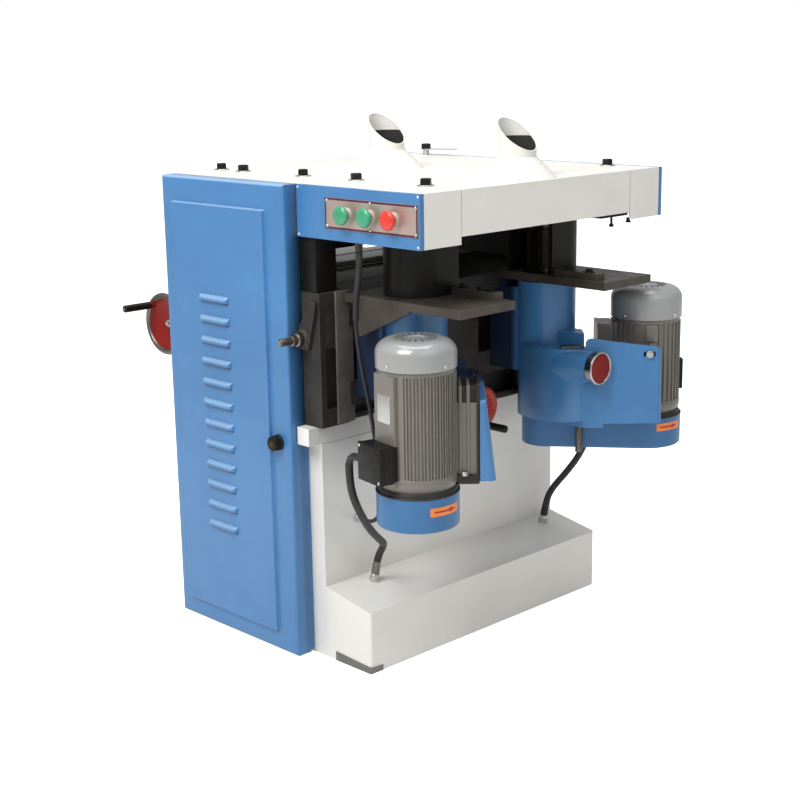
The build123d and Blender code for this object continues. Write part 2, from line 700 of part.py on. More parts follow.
def feed_roller(axis, r, flutes):
    """Feed roller with its shaft and chain sprocket."""
    body = rod_y(axis[0], axis[1], (-CUTTER_HALF, CUTTER_HALF), r)
    groove_z = (r - FLUTE_DEPTH, r + FLUTE_DEPTH)
    groove = block((-FLUTE_HALF, FLUTE_HALF), (-CUTTER_HALF - CUT, CUTTER_HALF + CUT), groove_z)
    for index in range(flutes):
        body -= Pos(axis[0], 0, axis[1]) * Rot(0, index * 360 / flutes, 0) * groove
    body += rod_y(axis[0], axis[1], (ROLLER_TAIL_Y, HEAD_PLATE_Y[1]), ROLLER_SHAFT_R)
    return body + rod_y(axis[0], axis[1], (ROLLER_TAIL_Y, ROLLER_TAIL_Y + SPROCKET_W), SPROCKET_R)


def head_carriage():
    """Two end plates and a cross bar that carry the upper cutter and the rollers."""
    frame = block(HEAD_BAR_X, (-HEAD_PLATE_Y[0], HEAD_PLATE_Y[0]), (HEAD_BAR_Z0, HEAD_Z[1]))
    for y in (HEAD_PLATE_Y, flip(HEAD_PLATE_Y)):
        frame += block(HEAD_X, y, HEAD_Z)
    for axis, r in LIFTED_SHAFTS:
        frame -= rod_y(axis[0], axis[1], (-HEAD_PLATE_Y[1] - CUT, HEAD_PLATE_Y[1] + CUT), r + RUN_FIT)
    return frame


def main_motor():
    """Stator and feet of the main motor on the cabinet floor."""
    x, z = MOTOR_AXIS
    foot_y = (MOTOR_Y[0] + MOTOR_FOOT_END, MOTOR_Y[1] - MOTOR_FOOT_END)
    body = rod_y(x, z, MOTOR_Y, MOTOR_R)
    body += block((x - MOTOR_FOOT_HALF, x + MOTOR_FOOT_HALF), foot_y, (SHEET, z - MOTOR_BORE_R))
    body -= rod_y(x, z, (MOTOR_Y[0] + MOTOR_WALL, MOTOR_Y[1] - MOTOR_WALL), MOTOR_BORE_R)
    return body - rod_y(x, z, (MOTOR_Y[0] - CUT, MOTOR_Y[1] - MOTOR_WALL / 2), CUTTER_SHAFT_R + RUN_FIT)


def main_rotor():
    """Rotor, shaft and double pulley of the main motor."""
    x, z = MOTOR_AXIS
    rotor = rod_y(x, z, (MOTOR_Y[0] + 2 * MOTOR_WALL, MOTOR_Y[1] - 2 * MOTOR_WALL), MOTOR_ROTOR_R)
    rotor += rod_y(x, z, (PULLEY_Y[0] - 2, MOTOR_Y[1] - MOTOR_WALL / 2 - 2), CUTTER_SHAFT_R)
    return rotor + rod_y(x, z, PULLEY_Y, MOTOR_PULLEY_R)


def crossed_loop(length, r_start, r_end, height):
    """Crossed belt round two pulleys, the second one at (length, 0)."""
    middle = (BELT_FIT + BELT_T) / 2
    start = r_start + middle
    end = r_end + middle
    turn = acos((start + end) / length)
    loop = Sketch()
    for centre, r, way in ((0, r_start, 1), (length, r_end, -1)):
        reach = 2 * r
        wedge = [(0, 0), (reach * cos(turn), reach * sin(turn)), (reach, reach), (reach, -reach),
                 (reach * cos(turn), -reach * sin(turn))]
        gap = make_face(Polyline(*[(way * wx, wy) for wx, wy in wedge], close=True))
        loop += Pos(centre, 0) * (Circle(r + BELT_T) - Circle(r + BELT_FIT) - gap)
    for way in (1, -1):
        near = (start * cos(turn), way * start * sin(turn))
        far = (length - end * cos(turn), -way * end * sin(turn))
        run = (far[0] - near[0], far[1] - near[1])
        strip = Rectangle(hypot(*run) + 1, BELT_T - BELT_FIT)
        middle = Pos((near[0] + far[0]) / 2, (near[1] + far[1]) / 2)
        loop += middle * Rot(0, 0, degrees(atan2(run[1], run[0]))) * strip
    return extrude(loop, height)


def main_belts():
    """Crossed belt to the lower cutter and open belt to the upper cutter."""
    belts = []
    for axis, y in ((LOWER_AXIS, BELT_A_Y), (UPPER_AXIS, BELT_B_Y)):
        dx = axis[0] - MOTOR_AXIS[0]
        dz = axis[1] - MOTOR_AXIS[1]
        length = sqrt(dx ** 2 + dz ** 2)
        width = y[1] - y[0]
        if axis == LOWER_AXIS:
            belt = crossed_loop(length, MOTOR_PULLEY_R, HEAD_PULLEY_R, width)
        else:
            belt = wrapped(length, MOTOR_PULLEY_R + BELT_T, HEAD_PULLEY_R + BELT_T, width)
            belt -= wrapped(length, MOTOR_PULLEY_R + BELT_FIT, HEAD_PULLEY_R + BELT_FIT, width)
        place = Plane(origin=(MOTOR_AXIS[0], y[1], MOTOR_AXIS[1]), x_dir=(dx, 0, dz), z_dir=(0, -1, 0))
        belts.append(place * belt)
    return Compound(children=belts)


def slide_frame():
    """Posts, cross rails and centre housing that carry the side heads."""
    frame = block(CENTRE_X, (-CENTRE_Y, CENTRE_Y), CENTRE_Z)
    frame += block(SLIDE_X, (-POST_Y[0], POST_Y[0]), SLIDE_LOW_Z)
    frame += block(SLIDE_X, (-POST_Y[0], POST_Y[0]), SLIDE_HIGH_Z)
    frame += block(POST_X, flip(POST_Y), (RAIL_TOP, POST_TOP))
    frame += block(POST_X, POST_Y, (BASE_TOP, POST_TOP))
    pocket = block((POST_X[1] - POCKET_DEPTH, POST_X[1] + CUT), POCKET_Y, POCKET_Z)
    pocket = fillet(pocket.edges().filter_by(Axis.X), POCKET_R)
    cover = block((POST_X[0], POST_X[1] - COVER_STEP), COVER_Y, (POST_TOP, COVER_TOP))
    screw_hole = rod_y(SCREW_X, SCREW_Z, (CENTRE_Y - SCREW_BITE, POST_Y[1] + CUT), SCREW_R + RUN_FIT)
    frame += cover + mirrored(cover)
    for cut in (pocket, screw_hole):
        frame -= cut
        frame -= mirrored(cut)
    return frame


def lead_screw():
    """Right lead screw with its collar and square end."""
    square_y = (SCREW_TIP_Y - SCREW_SQUARE, SCREW_TIP_Y)
    screw = rod_y(SCREW_X, SCREW_Z, (CENTRE_Y - SCREW_BITE + 2, square_y[0] + 2), SCREW_R)
    screw += rod_y(SCREW_X, SCREW_Z, SCREW_COLLAR_Y, SCREW_COLLAR_R)
    half = SCREW_R * SCREW_FLAT
    return screw + block((SCREW_X - half, SCREW_X + half), square_y, (SCREW_Z - half, SCREW_Z + half))


def wheel(rim, dish, grip_offset, grip_angle):
    """Dished handwheel facing +Z of its own frame, with the pin for the grip."""
    hub_r = WHEEL_HUB_R if rim > 3 * WHEEL_HUB_R else WHEEL_HUB_R * 0.8
    bore_r = WHEEL_SHAFT_R - 2
    hub_z = (-dish - WHEEL_HUB_H, -dish + WHEEL_HUB_H)
    profile = Polyline(
        (bore_r, hub_z[0]), (hub_r, hub_z[0]), (hub_r, -dish - WHEEL_WEB), (rim, -WHEEL_WEB), (rim, 0),
        (hub_r, -dish), (hub_r - 2, hub_z[1]), (bore_r, hub_z[1]), close=True)
    body = revolve(Plane.XZ * make_face(profile), Axis.Z)
    body += Pos(0, 0, -WHEEL_RIM_BAR / 2) * Torus(rim + WHEEL_RIM_BAR / 2, WHEEL_RIM_BAR)
    body += rod_z(0, 0, hub_z, WHEEL_SHAFT_R)
    px = grip_offset * cos(radians(grip_angle))
    py = grip_offset * sin(radians(grip_angle))
    body += rod_z(px, py, (-WHEEL_WEB, GRIP_LENGTH + GRIP_END_R), GRIP_PIN_R)
    return body + rod_z(px, py, (-WHEEL_WEB, PIN_COLLAR), GRIP_R - 1)


def grip(grip_offset, grip_angle):
    """Loose grip on the wheel's pin, in the wheel's own frame."""
    px = grip_offset * cos(radians(grip_angle))
    py = grip_offset * sin(radians(grip_angle))
    body = rod_z(px, py, (GRIP_START, GRIP_START + GRIP_LENGTH), GRIP_R)
    body = fillet(body.edges().group_by(Axis.Z)[-1], GRIP_END_R)
    return body - rod_z(px, py, (GRIP_START - CUT, GRIP_LENGTH + GRIP_END_R + 0.5), GRIP_PIN_R + RUN_FIT)


def infeed_table():
    """Short infeed table with its slide plate and the handwheel's hanger."""
    under = BED_Z[0] + 2
    inset = TABLE_HALF - APRON_INSET
    table = block(TABLE_X, (-TABLE_HALF, TABLE_HALF), (under, BED_Z[1]))
    table += block((TABLE_X[1] - APRON_T, TABLE_X[1]), (-inset, inset), (APRON_Z0, under))
    x, y, z = INFEED_WHEEL
    hanger_y = (-TABLE_HALF, -TABLE_HALF + HANGER_HALF)
    hanger = block((x - HANGER_HALF, x + HANGER_HALF), hanger_y, (z - HANGER_HALF, under))
    table += fillet(hanger.edges().filter_by(Axis.Y).group_by(Axis.Z)[0], HANGER_R)
    table += block((x - BRACE_T / 2, TABLE_X[1] - HANGER_R), (-inset, -inset + BRACE_T), (BRACE_Z0, under))
    return table - rod_y(x, z, (hanger_y[0] - CUT, hanger_y[1] + CUT), WHEEL_SHAFT_R + RUN_FIT)


def infeed_frame():
    """Frame of the infeed handwheel: local z points to the operator."""
    return Plane(origin=INFEED_WHEEL, x_dir=(1, 0, 0), z_dir=(0, -1, 0))


def lift_frame():
    """Frame of the lift handwheel: local z points to the outfeed side."""
    return Plane(origin=LIFT_WHEEL, x_dir=(0, 1, 0), z_dir=(1, 0, 0))


def side_place():
    """Local frame of the right side head."""
    return Pos(SPINDLE_X, SPINDLE_Y, 0) * Rot(0, 0, HEAD_ANGLE)


def tangent_point(x, y, r):
    """Point where the line from (x, y) touches a circle of radius r about the origin, on its outer side."""
    turn = atan2(y, x) - acos(r / hypot(x, y))
    return (r * cos(turn), r * sin(turn))


def leaning_front(near, far):
    """Space behind the casting's leaning front face, with its far corner rounded."""
    low_z, low_y = LEAN_LOW
    high_z, high_y = LEAN_HIGH
    back_y = 2 * QUILL_R
    plan = make_face(Polyline((near, low_y), (far, low_y), (far, back_y), (near, back_y), close=True))
    corner = plan.vertices().filter_by(lambda v: v.X > far - CUT and v.Y < 0)
    plan = fillet(corner, PLATE_EDGE_R)
    rise = Vector(0, high_y - low_y, high_z - low_z)
    return Pos(0, 0, low_z) * extrude(plan, rise.length, dir=tuple(rise.normalized()))


def head_casting(rim, plate_z):
    """Quill housing, carriage, arm and motor plate in one casting."""
    front = PLATE_LOCAL_Y[0]
    near, far = PLATE_LOCAL_X
    body = rod_z(0, 0, (rim, QUILL_TOP), QUILL_R)
    body += rod_z(0, 0, (QUILL_TOP - QUILL_LIP_H, QUILL_TOP), QUILL_R + QUILL_LIP)
    touch = tangent_point(near, front, QUILL_R - ARM_BITE)
    root = near + ARM_ROOT
    arm = prism_z((touch, (near, front), (root, front), (root, ARM_BACK_Y), ARM_ELBOW, ARM_ARMPIT), ARM_Z)
    low, top = plate_z
    plate = prism_y(((near, low), (far, low), (far, top - PLATE_DROP), (near, top)), PLATE_LOCAL_Y)
    top_corners = [e for e in plate.edges().filter_by(Axis.Y) if e.center().Z > (low + top) / 2]
    plate = fillet(top_corners, PLATE_CORNER_R)
    leaning = leaning_front(near - CUT, far)
    plate &= leaning
    slot_z = (top - SLOT_BELOW[0], top - SLOT_BELOW[1])
    plate -= block(SLOT_X, (2 * front, 0), slot_z)
    body += arm & leaning_front(-2 * far, 2 * far)
    body += prism_z(LUG, LUG_Z)
    body = side_place() * (body + plate)
    back = SLIDE_X[1] + NUT_FIT
    y = (SPINDLE_Y - QUILL_R, SPINDLE_Y + QUILL_R)
    nut_y = (SPINDLE_Y - NUT_HALF, SPINDLE_Y + NUT_HALF)
    body += block((back, SPINDLE_X - CARRIAGE_REACH), y, (CARRIAGE_Z0, QUILL_TOP - CARRIAGE_STEP))
    body += block((back, SADDLE_X1), y, (QUILL_TOP - CARRIAGE_STEP, SIDE_TABLE_Z[0]))
    body += block((SCREW_X - NUT_REACH, back), nut_y, NUT_Z)
    body -= rod_y(SCREW_X, SCREW_Z, (nut_y[0] - CUT, nut_y[1] + CUT), SCREW_R + NUT_FIT)
    return body - rod_z(SPINDLE_X, SPINDLE_Y, (rim - CUT, SIDE_TABLE_Z[0]), CARTRIDGE_R + RUN_FIT)


def with_knob_boss(casting):
    """The right casting with a bored boss for the height knob's shaft."""
    casting += rod_x(KNOB_Y, KNOB_Z, KNOB_BOSS_X, KNOB_BOSS_R)
    return casting - rod_x(KNOB_Y, KNOB_Z, KNOB_BORE_X, KNOB_SHAFT_R + RUN_FIT)


def height_knob():
    """Dished knob that raises the right spindle."""
    bore_r = KNOB_SHAFT_R - 2
    profile = Polyline((bore_r, -14), (16, -14), (KNOB_R - 2, -4), (KNOB_R, 0), (KNOB_R, 6), (KNOB_R - 4, 6),
                       (KNOB_R - 8, 2), (14, -6), (12, 2), (bore_r, 2), close=True)
    dish = revolve(Plane.XZ * make_face(profile), Axis.Z)
    dish += rod_z(0, 0, (KNOB_SHAFT_X0 - KNOB_X, 2), KNOB_SHAFT_R)
    return Plane(origin=(KNOB_X, KNOB_Y, KNOB_Z), x_dir=(0, 1, 0), z_dir=(1, 0, 0)) * dish


def side_table():
    """Right side table: plate with cutter hole, slotted bar and gusset."""
    low, high = SIDE_TABLE_Z
    inner_y, outer_y = SIDE_TABLE_Y
    table = block(SIDE_TABLE_X, SIDE_TABLE_Y, SIDE_TABLE_Z)
    back, foot, tip = GUSSET_X
    gusset = ((back, low + CUT), (back, GUSSET_Z), (foot, GUSSET_Z), (tip, low - 4), (tip, low + CUT))
    table += prism_y(gusset, (outer_y - GUSSET_T, outer_y))
    bar = block(BAR_X, (inner_y + BAR_IN[0], inner_y + BAR_IN[1]), (high, high + BAR_H))
    for x in BAR_SLOTS_X:
        slot_y = (inner_y + BAR_SLOT_IN[0], inner_y + BAR_SLOT_IN[1])
        bar -= block(x, slot_y, (high - CUT, high + BAR_H + CUT))
    table += bar
    return table - rod_z(SPINDLE_X, SPINDLE_Y, (low - CUT, high + CUT), TABLE_HOLE_R)


def chip_guard():
    """U-shaped guard round the right cutterhead, open to the board."""
    z = (SIDE_TABLE_Z[1], CHIP_TOP)
    through = (z[0] - CUT, z[1] + CUT)
    inner = CHIP_R - CHIP_SHEET
    leg_y = (SIDE_TABLE_Y[0] + CHIP_LEG_IN, SPINDLE_Y)
    shell = rod_z(SPINDLE_X, SPINDLE_Y, z, CHIP_R)
    shell += block((SPINDLE_X - CHIP_R, SPINDLE_X + CHIP_R), leg_y, z)
    hole = rod_z(SPINDLE_X, SPINDLE_Y, through, inner)
    hole += block((SPINDLE_X - inner, SPINDLE_X + inner), (leg_y[0] - CHIP_R, SPINDLE_Y), through)
    return shell - hole


def above(rim, span, stack=0):
    """Heights of a span given above the belt guard's rim, its upper end raised by a longer stator stack."""
    return (rim + span[0], rim + span[1] + stack)


def side_motor(rim, box_angle, stack):
    """Ribbed stator with a flat pad behind its terminal box, feet and end shield, in the local frame."""
    body = rod_z(0, 0, above(rim, STATOR_ABOVE, stack), STATOR_R)
    fin_z = above(rim, FIN_ABOVE, stack)
    fin = block((STATOR_R - FIN_ROOT, FIN_R), (-FIN_T / 2, FIN_T / 2), fin_z)
    for index in range(FIN_COUNT):
        angle = (index + 0.5) * 360 / FIN_COUNT
        away = abs((angle - box_angle + 180) % 360 - 180)
        if away > PAD_CLEAR + FIN_T:
            body += Rot(0, 0, angle) * fin
    body += Rot(0, 0, box_angle) * block((0, PAD_OUT), (-PAD_HALF, PAD_HALF), fin_z)
    rib = block((STATOR_R - FIN_ROOT, FIN_R - 1), (-RIB_T / 2, RIB_T / 2), fin_z)
    for turn in (-RIB_TURN, RIB_TURN):
        body += Rot(0, 0, box_angle + turn) * rib
    body += rod_z(0, 0, above(rim, SHIELD_ABOVE), FIN_R - 4)
    body += rod_z(0, 0, above(rim + stack, RING_ABOVE), FIN_R - 2)
    for x in FOOT_XS:
        body += block((x - FOOT_HALF, x + FOOT_HALF), FOOT_Y, above(rim, FOOT_ABOVE))
    body -= rod_z(0, 0, (rim + FOOT_ABOVE[0], rim + STATOR_ABOVE[1] + stack + CUT), STATOR_BORE_R)
    body -= rod_z(0, 0, (rim, rim + FOOT_ABOVE[0] + CUT), ROTOR_SHAFT_R + RUN_FIT)
    return side_place() * Pos(CENTRES, 0, 0) * body


def motor_cowl(low, height):
    """Fan cowl with a grille, in the local frame."""
    z = (low, low + height)
    shell = rod_z(CENTRES, 0, z, COWL_R)
    shell = fillet(shell.edges().group_by(Axis.Z)[-1], COWL_CROWN)
    hollow = rod_z(CENTRES, 0, (z[0] - CUT, z[1] - COWL_SHEET), COWL_R - COWL_SHEET)
    hollow = fillet(hollow.edges().group_by(Axis.Z)[-1], COWL_CROWN - COWL_SHEET)
    shell -= hollow
    slot = block(GRILLE_X, (-GRILLE_HALF, GRILLE_HALF), (z[1] - 5 * COWL_SHEET, z[1] + CUT))
    for index in range(GRILLE_SLOTS):
        shell -= Pos(CENTRES, 0, 0) * Rot(0, 0, index * 360 / GRILLE_SLOTS) * slot
    return side_place() * shell


def terminal_box(angle, z, elbow):
    """Terminal box on the motor's pad with its cable outlet, turned by angle about the motor's axis."""
    lid_x = BOX_OUT - BOX_LID
    body_half = BOX_HALF - BOX_STEP
    shape = block((BOX_IN + 6, lid_x), (-body_half, body_half), (z[0] + BOX_STEP, z[1] - BOX_STEP))
    lid = block((lid_x, BOX_OUT), (-BOX_HALF, BOX_HALF), z)
    lid = fillet(lid.edges().filter_by(Axis.X), BOX_LID_R)
    neck_z = (z[0] + BOX_NECK_STEP, z[1] - BOX_NECK_STEP)
    neck = block((PAD_OUT, BOX_IN + 12), (-BOX_NECK_HALF, BOX_NECK_HALF), neck_z)
    box = shape + lid + neck
    side = BOX_HALF - 2 * BOX_STEP
    if elbow:
        reach = BOX_HALF + ELBOW_REACH
        box += rod_y(ELBOW_X, ELBOW_Z, (side, reach), STUB_R)
        box += Pos(ELBOW_X, reach, ELBOW_Z) * Rot(0, 0, 30) * Sphere(STUB_R + ELBOW_SWELL)
        box += rod_z(ELBOW_X, reach, (ELBOW_Z - ELBOW_DROP, ELBOW_Z), STUB_R)
    else:
        box += rod_y(STUB_X, STUB_Z, (-STUB_END, -side), STUB_R)
    return side_place() * Pos(CENTRES, 0, 0) * Rot(0, 0, angle) * box


def motor_rotor(rim, stack):
    """Rotor, fan and pulley of the side motor."""
    rotor = rod_z(CENTRES, 0, above(rim, SHAFT_ABOVE, stack), ROTOR_SHAFT_R)
    rotor += rod_z(CENTRES, 0, above(rim, ROTOR_ABOVE), ROTOR_R)
    rotor += rod_z(CENTRES, 0, above(rim + stack, FAN_ABOVE), SIDE_PULLEY_R)
    rotor += rod_z(CENTRES, 0, above(rim, SIDE_PULLEY_ABOVE), SIDE_PULLEY_R)
    return side_place() * rotor


def spindle_cartridge(rim):
    """Bearing cartridge that slides in the quill housing."""
    body = rod_z(SPINDLE_X, SPINDLE_Y, (rim + CARTRIDGE_ABOVE, QUILL_TOP - CARTRIDGE_BELOW_TOP), CARTRIDGE_R)
    return body - rod_z(SPINDLE_X, SPINDLE_Y, (rim, QUILL_TOP), SHAFT_R + RUN_FIT)


def spindle(rim):
    """Spindle with its belt drum and nose."""
    shoulder = QUILL_TOP + NOSE_STEP
    body = rod_z(SPINDLE_X, SPINDLE_Y, (rim - DRUM_BELOW, shoulder), SHAFT_R)
    body += rod_z(SPINDLE_X, SPINDLE_Y, (rim - DRUM_BELOW, rim + DRUM_ABOVE), SPINDLE_PULLEY_R)
    return body + rod_z(SPINDLE_X, SPINDLE_Y, (shoulder, SIDE_CUTTER_Z[1] + NOSE_STEP), NOSE_R)


def cutterhead():
    """Side cutterhead with four gullets, on the spindle nose."""
    through = (SIDE_CUTTER_Z[0] - CUT, SIDE_CUTTER_Z[1] + CUT)
    body = rod_z(SPINDLE_X, SPINDLE_Y, SIDE_CUTTER_Z, SIDE_CUTTER_R)
    gullet_x = (SIDE_CUTTER_R - SIDE_GULLET_DEPTH, SIDE_CUTTER_R + CUT)
    gullet = block(gullet_x, (-SIDE_GULLET_HALF, SIDE_GULLET_HALF), through)
    for index in range(CUTTER_KNIVES):
        turn = SIDE_GULLET_TURN + index * 360 / CUTTER_KNIVES
        body -= Pos(SPINDLE_X, SPINDLE_Y, 0) * Rot(0, 0, turn) * gullet
    return body - rod_z(SPINDLE_X, SPINDLE_Y, through, NOSE_R)


def drive_belt(rim):
    """Flat belt between spindle drum and motor pulley."""
    outer = wrapped(CENTRES, SPINDLE_PULLEY_R + BELT_T, SIDE_PULLEY_R + BELT_T, SIDE_BELT_W)
    inner = wrapped(CENTRES, SPINDLE_PULLEY_R + BELT_FIT, SIDE_PULLEY_R + BELT_FIT, SIDE_BELT_W)
    return side_place() * Pos(0, 0, rim - SIDE_BELT_BELOW) * (outer - inner)


def belt_guard(rim):
    """Egg-shaped pan under the belt."""
    outer = wrapped(CENTRES, GUARD_SPINDLE_R, GUARD_MOTOR_R, GUARD_DEPTH)
    outer = fillet(outer.edges().group_by(Axis.Z)[0], GUARD_EDGE_R)
    inner = wrapped(CENTRES, GUARD_SPINDLE_R - GUARD_SHEET, GUARD_MOTOR_R - GUARD_SHEET, GUARD_DEPTH)
    return side_place() * Pos(0, 0, rim - GUARD_DEPTH) * (outer - Pos(0, 0, GUARD_SHEET) * inner)


def local_point(x, y, z, side):
    """Layout point of a local side-head point, on the right (1) or the left (-1)."""
    c = cos(radians(HEAD_ANGLE))
    s = sin(radians(HEAD_ANGLE))
    return (SPINDLE_X + c * x - s * y, side * (SPINDLE_Y + s * x + c * y), z)


def plinth_top(x):
    """Height of the plinth's sloping top at x."""
    share = (x - BASE_X[1]) / (PLINTH_X1 - BASE_X[1])
    return PLINTH_TOP_BACK + share * (PLINTH_TOP_FRONT - PLINTH_TOP_BACK)


def above_plinth(x, y, height):
    """Point at a height square to the plinth's sloping top."""
    return (x + height * PLINTH_NORMAL[0], y, plinth_top(x) + height * PLINTH_NORMAL[2])


plinth_run = PLINTH_X1 - BASE_X[1]
plinth_fall = PLINTH_TOP_BACK - PLINTH_TOP_FRONT
plinth_edge = sqrt(plinth_run ** 2 + plinth_fall ** 2)
PLINTH_NORMAL = (plinth_fall / plinth_edge, 0, plinth_run / plinth_edge)

os.makedirs("parts", exist_ok=True)
pieces = {}

# Fixed frame
save("base_cabinet", base_cabinet())
save("outfeed_plinth", outfeed_plinth())
save("drive_enclosure", drive_enclosure())
save("hood_shell", hood_shell())
save("hood_pans", hood_pans())
save("dust_outlets", dust_outlets())
save("hood_bolts", hood_bolts())
save("control_plate", control_plate())
save("side_frames", side_frames())
save("main_bed", main_bed())
save("slide_frame", slide_frame())
save("main_motor", main_motor())
save("main_belts", main_belts())

# Pieces moved by the operator
save("drive_door", drive_door())
save("lock_knob", lock_knob())
for name, x in zip(("start_button_a", "start_button_b", "stop_button"), BUTTON_XS):
    save(name, button(x))
save("infeed_table", infeed_table())
infeed_wheel = wheel(INFEED_RIM_R, INFEED_DISH, INFEED_GRIP_OFFSET, INFEED_GRIP_ANGLE)
infeed_wheel += rod_z(0, 0, (INFEED_WHEEL[1] + TABLE_HALF - HANGER_HALF, -INFEED_DISH), WHEEL_SHAFT_R)
save("infeed_handwheel", infeed_frame() * infeed_wheel)
save("infeed_grip", infeed_frame() * grip(INFEED_GRIP_OFFSET, INFEED_GRIP_ANGLE))
lift_wheel = wheel(LIFT_RIM_R, LIFT_DISH, LIFT_GRIP_OFFSET, LIFT_GRIP_ANGLE)
lift_wheel += rod_z(0, 0, (-LIFT_SHAFT, -LIFT_DISH), WHEEL_SHAFT_R)
save("lift_handwheel", lift_frame() * lift_wheel)
save("lift_grip", lift_frame() * grip(LIFT_GRIP_OFFSET, LIFT_GRIP_ANGLE))

# Inner heads
save("head_carriage", head_carriage())
save("upper_cutter", upper_cutter())
save("lower_cutter", lower_cutter())
save("infeed_roller", feed_roller(INFEED_AXIS, ROLLER_R, ROLLER_FLUTES))
save("outfeed_roller", feed_roller(OUTFEED_AXIS, OUT_ROLLER_R, 0))
save("main_rotor", main_rotor())

# Side heads
sides = (
    ("right", 1, GUARD_RIM_RIGHT, RIGHT_PLATE_Z, RIGHT_BOX_ANGLE, RIGHT_BOX_Z, 0, COWL_H),
    ("left", -1, GUARD_RIM_LEFT, LEFT_PLATE_Z, LEFT_BOX_ANGLE, LEFT_BOX_Z, LEFT_STACK, LEFT_COWL_H),
)
for side_name, side, rim, plate_z, box_angle, box_z, stack, cowl_h in sides:
    casting = head_casting(rim, plate_z)
    if side > 0:
        casting = with_knob_boss(casting)
    shapes = {
        "head_casting": casting,
        "side_table": side_table(),
        "chip_guard": chip_guard(),
        "side_motor": side_motor(rim, box_angle, stack),
        "motor_cowl": motor_cowl(rim + STATOR_ABOVE[1] + stack, cowl_h),
        "terminal_box": terminal_box(box_angle, box_z, side < 0),
        "motor_rotor": motor_rotor(rim, stack),
        "spindle_cartridge": spindle_cartridge(rim),
        "spindle": spindle(rim),
        "cutterhead": cutterhead(),
        "drive_belt": drive_belt(rim),
        "belt_guard": belt_guard(rim),
        "lead_screw": lead_screw(),
    }
    for piece_name, shape in shapes.items():
        save(side_name + "_" + piece_name, shape if side > 0 else mirrored(shape))
save("height_knob", height_knob())

# Cables and glands
LEFT_GLAND = (-330, -284.5)
RIGHT_GLAND = (-330, 367.5)
LAST_RUN = 44
wall_gland = (BASE_X[1], -304.5, 340)
hood_gland = (-203, -HOOD_HALF - PAN_DEPTH / 2, HOOD_SKIRT)
elbow_low = ELBOW_Z - ELBOW_DROP
elbow_turn = radians(LEFT_BOX_ANGLE)
elbow_side = BOX_HALF + ELBOW_REACH
left_start = local_point(
    CENTRES + ELBOW_X * cos(elbow_turn) - elbow_side * sin(elbow_turn),
    ELBOW_X * sin(elbow_turn) + elbow_side * cos(elbow_turn), elbow_low, -1)
left_route = (
    left_start, (left_start[0], left_start[1], elbow_low - 40), (-164, -500, 478), (-179, -464, 428),
    (-212, -398, 360), (-254, -328, 308), (-296, -297, 280),
    above_plinth(*LEFT_GLAND, GLAND_H + LAST_RUN), above_plinth(*LEFT_GLAND, GLAND_H),
)
right_route = (
    local_point(CENTRES - STUB_X, STUB_END, STUB_Z, 1),
    local_point(CENTRES - STUB_X, STUB_END + 43, STUB_Z, 1),
    local_point(151, 136, 714, 1), local_point(149, 157, 678, 1), local_point(147, 160, 618, 1),
    local_point(142, 148, 534, 1), local_point(132, 126, 452, 1), (-228, 403, 386), (-266, 388, 328),
    (-300, 373, 283),
    above_plinth(*RIGHT_GLAND, GLAND_H + LAST_RUN), above_plinth(*RIGHT_GLAND, GLAND_H),
)
control_route = (
    (-203, hood_gland[1], HOOD_SKIRT - GLAND_H), (-203, hood_gland[1], 1000), (-220, -421, 956),
    (-237, -413, 900), (-241, -408, 830), (-234, -398, 750), (-229, -383, 670), (-232, -366, 590),
    (-241, -346, 500), (-255, -327, 418), (-274, -314, 373), (-298, -307, 350), (-324, -304.5, 340),
    (BASE_X[1] + GLAND_H, -304.5, 340),
)
glands = [
    gland(above_plinth(*LEFT_GLAND, 0), PLINTH_NORMAL, MOTOR_CABLE_D),
    gland(above_plinth(*RIGHT_GLAND, 0), PLINTH_NORMAL, MOTOR_CABLE_D),
    gland(wall_gland, (1, 0, 0), CONTROL_CABLE_D), gland(hood_gland, (0, 0, -1), CONTROL_CABLE_D * 0.62),
]
save("cable_glands", Compound(children=glands))
save("left_motor_cable", cord(left_route, MOTOR_CABLE_D, "left_motor_cable"))
save("right_motor_cable", cord(right_route, MOTOR_CABLE_D, "right_motor_cable"))
save("control_cable", cord(control_route, CONTROL_CABLE_D, "control_cable"))

boxes = pieces.values()
low = (min(b.min.X for b in boxes), min(b.min.Y for b in boxes), min(b.min.Z for b in boxes))
high = (max(b.max.X for b in boxes), max(b.max.Y for b in boxes), max(b.max.Z for b in boxes))
print("pieces", len(pieces), "low", [round(v, 2) for v in low], "high", [round(v, 2) for v in high])
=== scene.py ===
import json
from collections import namedtuple
from math import cos, pi, radians, sin, sqrt, tan

